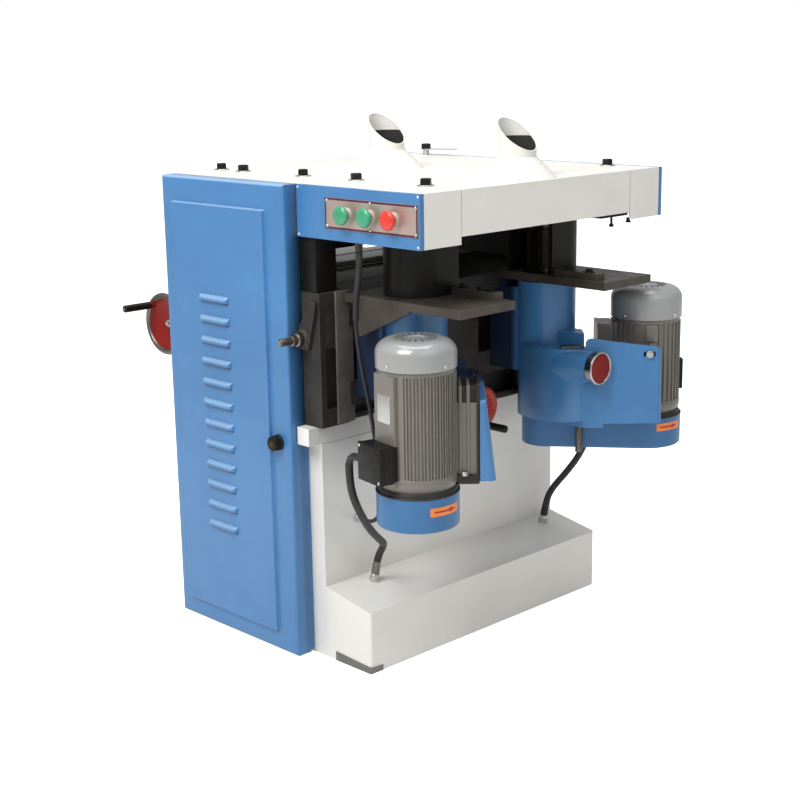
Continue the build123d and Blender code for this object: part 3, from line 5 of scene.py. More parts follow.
import bmesh
import bpy
import numpy as np
from bpy.props import FloatProperty, FloatVectorProperty, PointerProperty
from bpy.types import Operator, Panel, PropertyGroup
from mathutils import Matrix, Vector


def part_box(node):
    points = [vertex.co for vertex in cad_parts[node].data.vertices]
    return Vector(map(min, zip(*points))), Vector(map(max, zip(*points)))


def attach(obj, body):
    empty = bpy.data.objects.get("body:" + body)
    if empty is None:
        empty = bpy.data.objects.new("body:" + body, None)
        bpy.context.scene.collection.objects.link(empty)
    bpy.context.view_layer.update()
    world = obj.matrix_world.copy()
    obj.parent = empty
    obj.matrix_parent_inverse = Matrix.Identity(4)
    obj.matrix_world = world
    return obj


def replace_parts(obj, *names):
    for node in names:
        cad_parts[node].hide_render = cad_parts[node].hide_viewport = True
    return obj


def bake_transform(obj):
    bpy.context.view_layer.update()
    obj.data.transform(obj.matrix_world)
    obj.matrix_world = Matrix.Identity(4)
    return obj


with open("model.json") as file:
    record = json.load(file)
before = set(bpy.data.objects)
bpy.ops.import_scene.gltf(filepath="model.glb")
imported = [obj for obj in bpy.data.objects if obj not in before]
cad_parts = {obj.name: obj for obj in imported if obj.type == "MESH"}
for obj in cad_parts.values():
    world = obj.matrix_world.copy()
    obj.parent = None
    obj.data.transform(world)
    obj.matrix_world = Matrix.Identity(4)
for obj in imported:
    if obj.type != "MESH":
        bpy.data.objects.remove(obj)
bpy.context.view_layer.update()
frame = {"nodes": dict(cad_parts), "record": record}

bl_info = {
    "name": "Four-side planer",
    "version": (1, 0, 0),
    "blender": (4, 5, 0),
    "location": "3D View > Sidebar > Planer",
    "description": "Finishes a four-side wood planer: enamel, castings, fittings, cables and studio",
    "category": "Add Mesh",
}

MM = 0.001

# Places, worked out from the frame


def corner(node, side):
    """Lowest (0) or highest (1) corner of a node at rest."""
    return np.array(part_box(node)[side])


def joint_point(name):
    """Pivot of a joint, as the record gives it."""
    for joint in frame["record"]["behaviour"]["joints"]:
        if joint["name"] == name:
            return np.array(joint["pos_m"])
    raise RuntimeError("no joint " + name)


HOOD_LOW = corner("hood_shell", 0)
HOOD_HIGH = corner("hood_shell", 1)
LAYOUT_ORIGIN = np.array((HOOD_HIGH[0], (HOOD_LOW[1] + HOOD_HIGH[1]) / 2, 0.0))


def layout(points):
    """Metres from millimetres off the hood's outfeed face, the centre line and the floor."""
    return LAYOUT_ORIGIN + np.asarray(points, float) * MM


def as_given(points):
    """Points that are in metres already."""
    return np.asarray(points, float)


def span(node, axis):
    """Range of a node along one axis, in the layout's millimetres."""
    shift = LAYOUT_ORIGIN[axis]
    return ((corner(node, 0)[axis] - shift) / MM, (corner(node, 1)[axis] - shift) / MM)


Head = namedtuple("Head", "sign rim plate_top box_turn box_z")
HEADS = {
    "left": Head(-1, span("left_belt_guard", 2)[1], 745, 55, span("left_terminal_box", 2)),
    "right": Head(1, span("right_belt_guard", 2)[1], 766, 180, span("right_terminal_box", 2)),
}
SPINDLE_TO_MOTOR = joint_point("right_motor_spin")[:2] - joint_point("right_spindle_spin")[:2]
CENTRES = float(np.hypot(*SPINDLE_TO_MOTOR)) / MM


def head_place(side):
    """Placing for a side head in millimetres: x from spindle to motor, y away from the operator's face."""
    start = joint_point(side + "_spindle_spin")[:2]
    along = joint_point(side + "_motor_spin")[:2] - start
    along = along / np.hypot(*along)
    across = HEADS[side].sign * np.array((-along[1], along[0]))

    def place(points):
        points = np.asarray(points, float) * MM
        flat = start + points[..., :1] * along + points[..., 1:2] * across
        return np.concatenate((flat, points[..., 2:]), axis=-1)
    return place


def motor_place(side, turn):
    """Placing round a side motor's axis in millimetres, with x turned by degrees from the head's own x."""
    place = head_place(side)
    c, s = cos(radians(turn)), sin(radians(turn))

    def turned(points):
        x, y, z = np.moveaxis(np.asarray(points, float), -1, 0)
        return place(np.stack((CENTRES + c * x - s * y, s * x + c * y, z), axis=-1))
    return turned


# Materials
# Noise is drawn out along a tool line by this scale
TOOL_LINE_SCALE = 0.03
# Tones that wear adds, and tones painted in as light and shade: a pale sheen of reflected light, shade under
# slopes, on the side heads and under the hood
PAINTED_SHEEN_TONE = "#bcd8ee"
PAINTED_UNDERSIDE_SHADE_TONE = "#23426e"
PAINTED_SHADE_TONE = "#1a2740"
PAINTED_HOOD_SHADE_TONE = "#262421"
RUBBED_IRON = "#7a746c"


def linear(code):
    """Linear RGBA of an sRGB hex colour."""
    values = np.array([int(code[i:i + 2], 16) for i in (1, 3, 5)]) / 255
    low = values / 12.92
    high = ((values + 0.055) / 1.055) ** 2.4
    rgb = np.where(values <= 0.04045, low, high)
    return (float(rgb[0]), float(rgb[1]), float(rgb[2]), 1.0)


def fill(tree, node, inputs):
    """Fill a node's sockets with values or other nodes' outputs."""
    for key, value in inputs.items():
        if isinstance(value, bpy.types.NodeSocket):
            tree.links.new(value, node.inputs[key])
        else:
            node.inputs[key].default_value = value


def put(tree, kind, inputs=None, **settings):
    """Add a node, set its properties and fill its sockets."""
    node = tree.nodes.new(kind)
    for key, value in settings.items():
        setattr(node, key, value)
    fill(tree, node, inputs or {})
    return node


def blank(name):
    """New node material with its tree, its shader and the Object coordinates."""
    material = bpy.data.materials.new(name)
    material.use_nodes = True
    tree = material.node_tree
    tree.nodes.clear()
    shader = put(tree, "ShaderNodeBsdfPrincipled")
    put(tree, "ShaderNodeOutputMaterial", {"Surface": shader.outputs["BSDF"]})
    place = put(tree, "ShaderNodeTexCoord").outputs["Object"]
    return material, tree, shader, place


def noise(tree, place, size, detail=3.0):
    """Cloudy noise on Object coordinates, with patches of a size in millimetres."""
    inputs = {"Vector": place, "Scale": 1.0 / (size * MM), "Detail": detail}
    return put(tree, "ShaderNodeTexNoise", inputs).outputs["Fac"]


def vary(tree, value, low, high, start=0.3, end=0.7):
    """Number mapped from the range start to end onto low to high, and held at both ends."""
    return put(tree, "ShaderNodeMapRange", {"Value": value, "From Min": start, "From Max": end,
                                            "To Min": low, "To Max": high}).outputs["Result"]


def blend_colours(tree, factor, first, second):
    """Colour between two others by a factor; either may be an sRGB hex code."""
    first, second = [linear(colour) if isinstance(colour, str) else colour for colour in (first, second)]
    return put(tree, "ShaderNodeMix", {0: factor, 6: first, 7: second}, data_type="RGBA").outputs[2]


def combine(tree, operation, first, second, kind="ShaderNodeMath"):
    """Value that an operation gives for two numbers, or for two vectors with the vector kind of node."""
    return put(tree, kind, {0: first, 1: second}, operation=operation).outputs["Value"]


def part_along(tree, vector, axis):
    """One component of a vector."""
    return put(tree, "ShaderNodeSeparateXYZ", {"Vector": vector}).outputs[axis]


def soft_edges(tree, radius):
    """Normal that rounds the edges by a radius in millimetres, and a factor that is 1 on those edges."""
    rounded = put(tree, "ShaderNodeBevel", {"Radius": radius * MM}, samples=4).outputs["Normal"]
    flat = put(tree, "ShaderNodeNewGeometry").outputs["Normal"]
    along = combine(tree, "DOT_PRODUCT", rounded, flat, "ShaderNodeVectorMath")
    return rounded, vary(tree, along, 1.0, 0.0, 0.86, 0.99)


def bumpy(tree, shader, height, strength, depth, normal=None):
    """Bump of a depth in millimetres on the shader's normal."""
    inputs = {"Height": height, "Strength": strength, "Distance": depth * MM}
    if normal:
        inputs["Normal"] = normal
    fill(tree, shader, {"Normal": put(tree, "ShaderNodeBump", inputs).outputs["Normal"]})


def painted_shade_factor(tree, place, direction, limit, top):
    """Factor that is 1 below a height and short of a limit along a direction, both in metres: the region
    painted dark as shade.
    """
    reach = combine(tree, "DOT_PRODUCT", place, direction, "ShaderNodeVectorMath")
    short = vary(tree, reach, 1.0, 0.0, limit - SHADE_FADE * MM, limit)
    low = combine(tree, "LESS_THAN", part_along(tree, place, "Z"), top)
    return combine(tree, "MULTIPLY", short, low)


def enamel(name, colour, worn, rub, roughness, peel=2.4, strength=0.06, gloss=1.0, painted_shade=(), painted_sheen=0.0):
    """Sprayed machine enamel: soft gloss, faint orange peel, uneven patches and paler rubbed edges.

    Each shade entry is a direction, a limit along it and a height: what lies inside is painted dark navy as
    shade.
    The sheen value is how far upward slopes are painted pale as a highlight of reflected light; slopes that
    face down are then painted dark as shade.
    """
    material, tree, shader, place = blank(name)
    normal, edge = soft_edges(tree, 1.6)
    patches = vary(tree, noise(tree, place, 180), 0.0, 0.6)
    specks = vary(tree, noise(tree, place, 9, 6.0), 0.0, 0.2)
    chips = vary(tree, noise(tree, place, 14, 5.0), 0.15, 0.75, 0.42, 0.62)
    tone = blend_colours(tree, patches, colour, worn)
    tone = blend_colours(tree, specks, tone, worn)
    tone = blend_colours(tree, combine(tree, "MULTIPLY", edge, chips), tone, rub)
    # Painted light and shade: upward slopes pale as a highlight of reflected light, downward slopes dark
    if painted_sheen:
        slope = part_along(tree, put(tree, "ShaderNodeNewGeometry").outputs["Normal"], "Z")
        sheen_mask = vary(tree, slope, 0.0, painted_sheen, 0.1, 0.5)
        underside_shade_mask = vary(tree, slope, 0.7, 0.0, -0.45, -0.1)
        tone = blend_colours(tree, sheen_mask, tone, PAINTED_SHEEN_TONE)
        tone = blend_colours(tree, underside_shade_mask, tone, PAINTED_UNDERSIDE_SHADE_TONE)
    # Painted shade: each entry darkens its region to dark navy
    for direction, limit, top in painted_shade:
        tone = blend_colours(tree, painted_shade_factor(tree, place, direction, limit, top), tone, PAINTED_SHADE_TONE)
    rough = vary(tree, noise(tree, place, 60), roughness - 0.06, roughness + 0.08)
    fill(tree, shader, {"Base Color": tone, "Roughness": rough, "Specular IOR Level": 0.5 * gloss,
                        "Coat Weight": 0.25 * gloss, "Coat Roughness": 0.2})
    bumpy(tree, shader, noise(tree, place, peel, 2.0), strength, 0.4, normal)
    return material


def casting(name, colour, worn, roughness, grit=3.5, strength=0.35):
    """Sand-cast iron under thin dark paint: pitted, with oily lighter patches and bright rubbed edges."""
    material, tree, shader, place = blank(name)
    normal, edge = soft_edges(tree, 2.0)
    tone_mask = vary(tree, noise(tree, place, 70, 5.0), 0.0, 0.8)
    rubbed = vary(tree, edge, 0.0, 0.6, 0.0, 1.0)
    tone = blend_colours(tree, tone_mask, colour, worn)
    tone = blend_colours(tree, rubbed, tone, RUBBED_IRON)
    rough = vary(tree, noise(tree, place, 25), roughness - 0.1, roughness + 0.1)
    fill(tree, shader, {"Base Color": tone, "Roughness": rough, "Metallic": 0.2})
    bumpy(tree, shader, noise(tree, place, grit, 5.0), strength, 0.8, normal)
    return material


def brushed(name, colour, stain, roughness, along, metal=1.0, dark_beyond=None):
    """Machined metal: fine tool lines along one axis, with faint stains; dust makes it less metallic.

    Where dark_beyond is given, what lies past that x in metres is painted near black as shade.
    """
    material, tree, shader, place = blank(name)
    stretch = [1.0, 1.0, 1.0]
    stretch[along] = TOOL_LINE_SCALE
    drawn = put(tree, "ShaderNodeMapping", {"Vector": place, "Scale": stretch}).outputs["Vector"]
    lines = noise(tree, drawn, 1.6)
    stains = vary(tree, noise(tree, place, 45, 5.0), 0.0, 0.7)
    tone = blend_colours(tree, stains, colour, stain)
    # Painted shade: near black past dark_beyond
    if dark_beyond is not None:
        tone_mask = combine(tree, "GREATER_THAN", part_along(tree, place, "X"), dark_beyond)
        tone = blend_colours(tree, tone_mask, tone, PAINTED_HOOD_SHADE_TONE)
    rough = vary(tree, lines, roughness - 0.12, roughness + 0.12, 0.0, 1.0)
    fill(tree, shader, {"Base Color": tone, "Roughness": rough, "Metallic": metal})
    bumpy(tree, shader, lines, 0.1, 0.2, soft_edges(tree, 0.8)[0])
    return material


def moulded(name, colour, bloom, roughness, grain=0.9, coat=0.0, gloss=1.0):
    """Moulded plastic or rubber: even colour with a dull bloom and a fine leathery grain."""
    material, tree, shader, place = blank(name)
    dull = vary(tree, noise(tree, place, 30), 0.0, 0.6)
    tone = blend_colours(tree, dull, colour, bloom)
    rough = vary(tree, noise(tree, place, 18), roughness - 0.05, roughness + 0.07)
    fill(tree, shader, {"Base Color": tone, "Roughness": rough, "Specular IOR Level": 0.5 * gloss,
                        "Coat Weight": coat})
    bumpy(tree, shader, noise(tree, place, grain, 1.0), 0.08, 0.2)
    return material


FINISHES = {}


def make_finishes(paint):
    """Build every finish once."""
    carriage = (OUTFEED, float(layout((CARRIAGE_X, 0, 0))[0]), SHADE_TOP["carriage"] * MM)
    start, end = joint_point("left_spindle_spin")[:2], joint_point("left_motor_spin")[:2]
    along = (end - start) / np.hypot(*(end - start))
    limit = float(along @ start) + SHADE_REACH * MM
    behind = ((float(along[0]), float(along[1]), 0.0), limit, SHADE_TOP["left"] * MM)
    bed_end = float(layout((BED_DARK_X, 0, 0))[0])
    blue = (paint.blue, "#3b6fa3", "#8db3dc", 0.34)
    FINISHES.update({
        # Blue two-pack enamel, sprayed: the machine's main colour, paler where edges are rubbed
        "blue": enamel("blue_enamel", *blue),
        # The door's blue: louvre tops and the panel's upper edge are painted pale as a highlight of reflected
        # light, and slopes facing down are painted dark as shade
        "door_blue": enamel("door_enamel", *blue, painted_sheen=0.38),
        # The same blue on the side heads, with their carriages painted dark navy as shade
        "head_blue": enamel("side_head_enamel", *blue, painted_shade=(carriage,)),
        # The left side head also has dark navy painted as shade behind its motor plate
        "left_blue": enamel("left_head_enamel", *blue, painted_shade=(carriage, behind)),
        # A duller coat of the blue on the belt guards
        "belt_blue": enamel("belt_guard_enamel", "#3d73a6", "#346493", "#7fa6d0", 0.4, gloss=0.7),
        # Shaded blue inside the louvres' mouths
        "dark_blue": enamel("shaded_blue_enamel", "#23507f", "#1b426c", "#2f6296", 0.4),
        # Warm white enamel on sheet steel, chalky on wide faces
        "white": enamel("white_enamel", paint.white, "#dcd9d2", "#f4f3ef", 0.42, 3.0, 0.05),
        # Grey-brown motor paint over ribbed aluminium
        "motor": enamel("motor_paint", paint.motor, "#6e6963", "#a3a09a", 0.38, 1.8, 0.12),
        # Lighter grey paint on the pressed fan cowls
        "cowl": enamel("cowl_paint", paint.cowl, "#96938d", "#c4c2bc", 0.22, 1.8, 0.05, 1.6),
        # Nearly black sheet guards and covers, slightly glossy
        "guard": enamel("black_guard_paint", "#131210", "#1c1a18", "#3a3733", 0.4, gloss=0.4),
        # Red enamel of the handwheels
        "red": enamel("red_enamel", "#8c221c", "#701813", "#b2564b", 0.45, 1.6, 0.05, 0.3),
        # Brighter red of the lift handwheel
        "wheel_red": enamel("lift_wheel_enamel", "#c0463a", "#a83a2f", "#d58d80", 0.4, 1.6, 0.05),
        # Cast iron with dark paint, oily
        "iron": casting("dark_cast_iron", "#1d1b19", "#35312d", 0.5),
        # Grey-brown casting of the slide posts, dull with grease
        "post": casting("post_casting", "#2b2826", "#403c37", 0.65, 5.0, 0.5),
        # Lighter machined strip of the slide posts
        "way": casting("machined_way", "#5a564f", "#77726a", 0.5, 2.0, 0.2),
        # Blackened plate of the side tables, brownish at its edges
        "table": casting("blackened_plate", "#403a34", "#564f47", 0.42, 1.6, 0.15),
        # Bed plate under the hood: pale for dust and bright wear along the feed and also as painted light
        # from the infeed side; past BED_DARK_X painted near black as the shade under the hood
        "bed": brushed("worn_bed_with_painted_light_and_shade", "#e9e7e2", "#b9b6b0", 0.45, 0, 0.3, bed_end),
        # Ground rollers and screws, lines across the feed
        "steel": brushed("ground_steel", "#b3b3b0", "#8b8985", 0.34, 1),
        # Greasy handled steel of screws and tongues, brownish
        "worn_steel": brushed("worn_steel", "#8d867e", "#5f5850", 0.4, 1),
        # Bright turned rims and knobs
        "chrome": brushed("dull_chrome", "#c3c4c5", "#9b9c9e", 0.24, 2),
        # Blackened bolt heads and cutters; on the side cutterheads the black also stands for the shade inside
        # their chip guards
        "bolt": brushed("black_oxide_and_painted_shade", "#34322f", "#201e1b", 0.42, 2),
        # Zinc-plated washers, screws and glands
        "zinc": brushed("zinc_plate", "#d2d3cf", "#b2b3ae", 0.36, 2),
        # Hot-dip galvanised sheet, dull and spangled
        "galvanised": brushed("galvanised_sheet", "#8e8d8a", "#72716e", 0.5, 0),
        # Satin aluminium control plate, warm
        "plate": brushed("satin_aluminium", "#d8c6bc", "#c4b1a7", 0.5, 0),
        # Brass core of the lock
        "brass": brushed("brass_lock", "#6b5138", "#4d3a28", 0.4, 2),
        # Dark red printed border of the control plate
        "border": moulded("border_ink", "#5a1c2c", "#471522", 0.4),
        # Start and stop caps, glossy plastic
        "green": moulded("green_cap", "#3d9d77", "#308a63", 0.28, 0.9, 0.5),
        "red_cap": moulded("red_cap", "#e03c2a", "#c93223", 0.28, 0.9, 0.3),
        # Pale plastic collars under the caps
        "pale": moulded("pale_collar", "#bdb6ab", "#a8a196", 0.4),
        # Orange film of the plain arrow plates, and the arrow's ink
        "orange": moulded("orange_film", "#f08a3c", "#e27a2d", 0.4),
        "arrow": moulded("arrow_ink", "#b3261c", "#9d2018", 0.45),
        # Black phenolic grips, knobs and boxes
        "black": moulded("black_phenolic", "#121110", "#1d1c1a", 0.42, 1.2, 0.0, 0.45),
        # Cable sheath and rubber edging
        "rubber": moulded("black_sheath", "#1d1c1b", "#2d2b29", 0.5, 1.0),
        # Flat and vee belts
        "belt": moulded("rubber_belt", "#232220", "#34322f", 0.7, 1.5),
        # Near black: painted shade deep in the suction pipes, behind the cowl slots and in the post pockets;
        # also the dark joints across the bed
        "soot": moulded("painted_shade_and_joint_black", "#262624", "#3a3935", 0.9, 2.0),
    })


# Nodes that a modelled piece stands for have no finish of their own
NODE_FINISH = {
    "base_cabinet": "white", "outfeed_plinth": "white", "hood_shell": "white", "dust_outlets": "white",
    "drive_enclosure": "blue", "hood_pans": "blue", "control_plate": "plate", "side_frames": "iron",
    "main_bed": "bed", "slide_frame": "post", "main_motor": "motor", "main_belts": "belt",
    "infeed_table": "steel", "infeed_handwheel": "red", "infeed_grip": "black", "head_carriage": "iron",
    "lift_handwheel": "wheel_red", "lift_grip": "black", "upper_cutter": "bolt", "lower_cutter": "bolt",
    "infeed_roller": "steel", "outfeed_roller": "bolt", "main_rotor": "steel", "right_terminal_box": "motor",
}
# The side cutterheads take the black finish also as painted shade inside their chip guards
SIDE_FINISH = {
    "head_casting": "head_blue", "side_table": "table", "chip_guard": "guard", "side_motor": "motor",
    "motor_rotor": "steel", "spindle_cartridge": "steel", "spindle": "steel", "cutterhead": "bolt",
    "drive_belt": "belt", "belt_guard": "belt_blue", "lead_screw": "steel",
}
for side_name in HEADS:
    for part, part_finish in SIDE_FINISH.items():
        NODE_FINISH[side_name + "_" + part] = part_finish
NODE_FINISH["left_head_casting"] = "left_blue"

# A piece's finish and a slot name, where several pieces share them
BLUE = ("blue", "blue_paint")
WHITE = ("white", "white_paint")
MOTOR_PAINT = ("motor", "motor_grey")
ZINC = ("zinc", "galvanised")
BOLT = ("bolt", "bolt_steel")
WORN_STEEL = ("worn_steel", "steel")
SHADE_AND_JOINT_BLACK = ("soot", "dark_casting")
BLACK = ("black", "black_plastic")
RUBBER = ("rubber", "black_rubber")


# Surfaces


def grid_faces(rows, columns, closed_rows=False, closed_columns=True):
    """Quads between neighbouring points of a rows by columns grid, wrapped where a direction is closed."""
    r = np.arange(rows if closed_rows else rows - 1)
    c = np.arange(columns if closed_columns else columns - 1)
    r, c = np.meshgrid(r, c, indexing="ij")
    here, below = r * columns, (r + 1) % rows * columns
    right = (c + 1) % columns
    quads = np.stack((here + c, here + right, below + right, below + c), axis=-1)
    return quads.reshape(-1, 4)


def loft(sections, closed=False):
    """Closed loops of points joined one after the other; open ends are drawn together to their middles."""
    sections = np.asarray(sections, float)
    if not closed:
        middle = np.repeat(sections.mean(axis=1, keepdims=True), sections.shape[1], axis=1)
        sections = np.concatenate((middle[:1], sections, middle[-1:]))
    rows, columns = sections.shape[:2]
    return sections.reshape(-1, 3), grid_faces(rows, columns, closed_rows=closed)


def axes_for(direction):
    """Two unit directions square to a direction and to each other, and the direction itself as a unit."""
    along = np.array(direction, float)
    along /= np.linalg.norm(along)
    helper = np.array((1.0, 0.0, 0.0)) if abs(along[0]) < 0.9 else np.array((0.0, 1.0, 0.0))
    first = np.cross(helper, along)
    first /= np.linalg.norm(first)
    return first, np.cross(along, first), along


def lathe(profile, centre, direction, sides=48, turn=0.0, closed=False):
    """Profile of (radius, height) points turned about a line: centre + height * along + radius * around."""
    first, second, along = axes_for(direction)
    radius, height = np.array(profile, float).T
    angle = np.linspace(0, 2 * pi, sides, endpoint=False) + turn
    around = np.cos(angle)[:, None] * first + np.sin(angle)[:, None] * second
    return loft(np.array(centre) + height[:, None, None] * along + radius[:, None, None] * around, closed)


def dome(centre, direction, radius, height, steps=5, sides=20):
    """Quarter of an ellipse turned about a line: radius * cos t across, height * sin t along."""
    t = np.linspace(0, pi / 2, steps + 1)
    return lathe(np.stack((radius * np.cos(t), height * np.sin(t)), axis=-1), centre, direction, sides)


def ring(centre, direction, radius, bar, sides=64, steps=16):
    """Round bar bent to a ring: a circle of the bar's radius turned about a line."""
    t = np.linspace(0, 2 * pi, steps, endpoint=False)
    section = np.stack((radius + bar * np.cos(t), bar * np.sin(t)), axis=-1)
    return lathe(section, centre, direction, sides, closed=True)


def hex_head(centre, direction, radius, height, turn=0.3):
    """Hexagon with a chamfered top: six points turned about a line, drawn in near the top."""
    chamfer = 0.86
    profile = ((radius, 0), (radius, chamfer * height), (chamfer * radius, height))
    return lathe(profile, centre, direction, 6, turn)


def disc(centre, direction, radius, height, sides=32):
    """Flat round plate with a small bevel on its outer edge."""
    bevel = 0.25 * height
    profile = ((radius, 0), (radius, height - bevel), (radius - bevel, height))
    return lathe(profile, centre, direction, sides)


def tube(path, radius, sides=16, closed=False):
    """Circle carried along a path: each ring stands square to the path, with one common guide direction."""
    path = np.array(path, float)
    if closed:
        tangent = np.roll(path, -1, axis=0) - np.roll(path, 1, axis=0)
    else:
        tangent = np.gradient(path, axis=0)
    tangent /= np.linalg.norm(tangent, axis=1)[:, None]
    guide = np.array((0.31, 0.27, 0.91)) if closed else np.array((0.31, 0.87, 0.38))
    first = np.cross(tangent, guide)
    first /= np.linalg.norm(first, axis=1)[:, None]
    second = np.cross(tangent, first)
    angle = np.linspace(0, 2 * pi, sides, endpoint=False)[None, :, None]
    circle = np.cos(angle) * first[:, None, :] + np.sin(angle) * second[:, None, :]
    return loft(path[:, None, :] + radius * circle, closed)


def prism(outline, low, high, axis, ease=1.0):
    """Flat outline pushed along an axis from low to high, its end edges eased by a small slope."""
    outline = np.array(outline, float)
    middle = outline.mean(axis=0)
    reach = np.abs(outline - middle).max()
    inset = middle + (outline - middle) * (1 - ease / reach)
    flats = np.stack((inset, outline, outline, inset))
    heights = np.array((low, low + ease, high - ease, high))[:, None]
    heights = np.repeat(heights, len(outline), axis=1)
    return loft(np.insert(flats, axis, heights, axis=2))


def rounded_box(low, high, radius, steps=3):
    """Box with rounded edges: a sphere's grid of directions pushed out to the eight corner centres."""
    low, high = np.array(low, float), np.array(high, float)
    radius = min(radius, float((high - low).min()) / 2 * 0.999)
    quarter = np.linspace(0, pi / 2, steps + 1)
    around = np.concatenate([quarter + k * pi / 2 for k in range(4)])
    signs_x = np.repeat((1, -1, -1, 1), steps + 1)
    signs_y = np.repeat((1, 1, -1, -1), steps + 1)
    up = np.concatenate((quarter - pi / 2, quarter))
    signs_z = np.repeat((-1, 1), steps + 1)
    centre, reach = (low + high) / 2, (high - low) / 2 - radius
    x = centre[0] + reach[0] * signs_x[None, :] + radius * np.cos(up)[:, None] * np.cos(around)[None, :]
    y = centre[1] + reach[1] * signs_y[None, :] + radius * np.cos(up)[:, None] * np.sin(around)[None, :]
    z = np.repeat((centre[2] + reach[2] * signs_z + radius * np.sin(up))[:, None], len(around), axis=1)
    return loft(np.stack((x, y, z), axis=-1))


def spun(surface, angles):
    """Copies of a surface, turned about the z axis by angles in degrees."""
    points, faces = surface
    for angle in np.radians(angles):
        turn = np.array(((cos(angle), sin(angle), 0), (-sin(angle), cos(angle), 0), (0, 0, 1)))
        yield points @ turn, faces


def arc_band(radius, thick, angles, low, high):
    """Thin plate bent round the z axis: for each angle a four-cornered section from low to high."""
    angles = np.radians(angles)
    inner, outer = radius, radius + thick
    r = np.array((inner, outer, outer, inner))
    z = np.stack((low, low, high, high), axis=-1)
    x = np.cos(angles)[:, None] * r
    y = np.sin(angles)[:, None] * r
    return loft(np.stack((x, y, z), axis=-1))


def piece(name, surfaces, finish, slot, body=None, place=layout, smooth=radians(35), sheet=False):
    """One object of several surfaces, doubles merged and normals turned outwards, riding on a body."""
    offset = 0
    points, faces = [], []
    for surface_points, surface_faces in surfaces:
        points.append(place(surface_points))
        faces.append(surface_faces + offset)
        offset += len(surface_points)
    mesh = bpy.data.meshes.new(name)
    mesh.from_pydata(np.concatenate(points).tolist(), [], np.concatenate(faces).tolist())
    work = bmesh.new()
    work.from_mesh(mesh)
    bmesh.ops.remove_doubles(work, verts=work.verts, dist=0.01 * MM)
    if not sheet:
        bmesh.ops.recalc_face_normals(work, faces=work.faces)
    work.to_mesh(mesh)
    work.free()
    mesh.polygons.foreach_set("use_smooth", np.ones(len(mesh.polygons), bool))
    mesh.set_sharp_from_angle(angle=smooth)
    mesh.materials.append(FINISHES[finish])
    obj = bpy.data.objects.new(name, mesh)
    bpy.context.collection.objects.link(obj)
    if body:
        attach(obj, body)
    return obj


# Directions, and sizes in millimetres of the layout that repeat or fit those of the solids
UP = (0, 0, 1)
OUTFEED = (1, 0, 0)
OPERATOR = (0, -1, 0)
DOWN = (0, 0, -1)
HOOD_TOP = 1180
HOOD_FACE_BOTTOM = 1076
BOLT_SPOTS = ((-876, -292), (-785, -292), (-549, -292), (-356, -292), (-123, -292), (-130, 378), (-800, 392))
BOLT_R = 13.5
BOLT_H = 15
WASHER_R = 20
WASHER_T = 3
STRIP_LIFT = 15
OUTLET_XS = (-555, -106)
OUTLET_R = 47
OUTLET_BORE_R = 45.5
OUTLET_MOUTH_Z = 1281
OUTLET_THROAT_Z = 1276
OUTLET_TILT = tan(radians(39))
OUTLET_ROLL_R = 1.6
PAN_FRONT = -435.4
WELD_XS = (-403, -6)
WELD_ZS = (1064, 1174)
PLATE_X = span("control_plate", 0)
PLATE_Z = span("control_plate", 2)
PLATE_FRONT = -438
BUTTON_XS = {"start_button_a": -232, "start_button_b": -156, "stop_button": -80}
BUTTON_Z = 1120
COLLAR_H = 7
BUTTON_GAP = 7
BUTTON_R = 22
DOOR_X = (-894.7, -415.4)
DOOR_Y = (-471.7, -426.5)
DOOR_Z = (5, 1180)
DOOR_EDGE_R = 6
PANEL_X = (-851, -484)
PANEL_Z = (53, 1118)
PANEL_RISE = 8
PANEL_EDGE = 3
LOUVRE_X = (-741, -627)
LOUVRE_LOWS = 875 - 54 * np.arange(12)
LOUVRE_H = 18
LOUVRE_CREST = 0.3
LOUVRE_ROUND = 12
HINGE_X = -903
HINGE_Y = -426
HINGE_ZS = (160, 580, 1000)
HINGE_R = 6.5
HINGE_KNUCKLE = 22
LOCK_X = -461
LOCK_Z = 553
GUARD_MOTOR_R = 95
GUARD_SPINDLE_R = 63
# First and last angle in degrees of each arrow plate, and its middle height
ARROW_PLATES = {"left": (-68, -17, 483), "right": (-78, -30, 516)}
ARROW_PLATE_HALF = 10.0
ARROW_NECK = 0.62
FIN_R = 90
FIN_STEP = 10
BOX_HALF_TURN = 39
COWL_R = 92
CROWN_IN = 38
CROWN_DOWN = 32
FOOT_LENGTH = {"left": 244, "right": 190}
BEND_R = 30
PAD_OUT = 88
BOX_OUT = 131
POST_FACE_X = -350
CARRIAGE_X = -242
# Reach, fade and top heights of the dark navy painted as shade on the side heads
SHADE_REACH = 170
SHADE_FADE = 30
SHADE_TOP = {"carriage": 1200, "left": 815}
BED_DARK_X = -600
POST_FRONT_Y = 426
POST_TOP = 925
SCREW_X = -400
SCREW_Z = 813
SCREW_TIP_Y = 509.5
QUILL_R = 75
ARM_TOP = 735
BOSS_R = 32
BOSS_FOOT = (52, 672)
BOSS_SPREAD = (80, 70)
WEB_START = radians(-160)
WEB_END_X = 112
ROD_AT = (78, -95)
ROD_LENGTH = 84
ROD_PITCH = 3
ROD_R = 10
ROD_GROOVE = 0.9
WEB_INNER = (-36, -52)
WEB_SOFT = 60
# Height of each section of the web, how far it climbs towards the plate, and how far its edge is drawn in
WEB_SECTIONS = ((541, 20, 2.0), (543, 20, 0.0), (733, 0, 0.0), (735.6, 0, 2.0))
PLATE_FOOT_Y = -180
PLATE_FOOT_Z = 514
PLATE_LEAN = 32 / 276
TABLE_TOP = 918
BAR_TOP = 936
BAR_Y = 187.5
BAR_BOLT_XS = {"left": (-109, -51, -22), "right": (-98, -32)}
BED_HALF_Y = 329
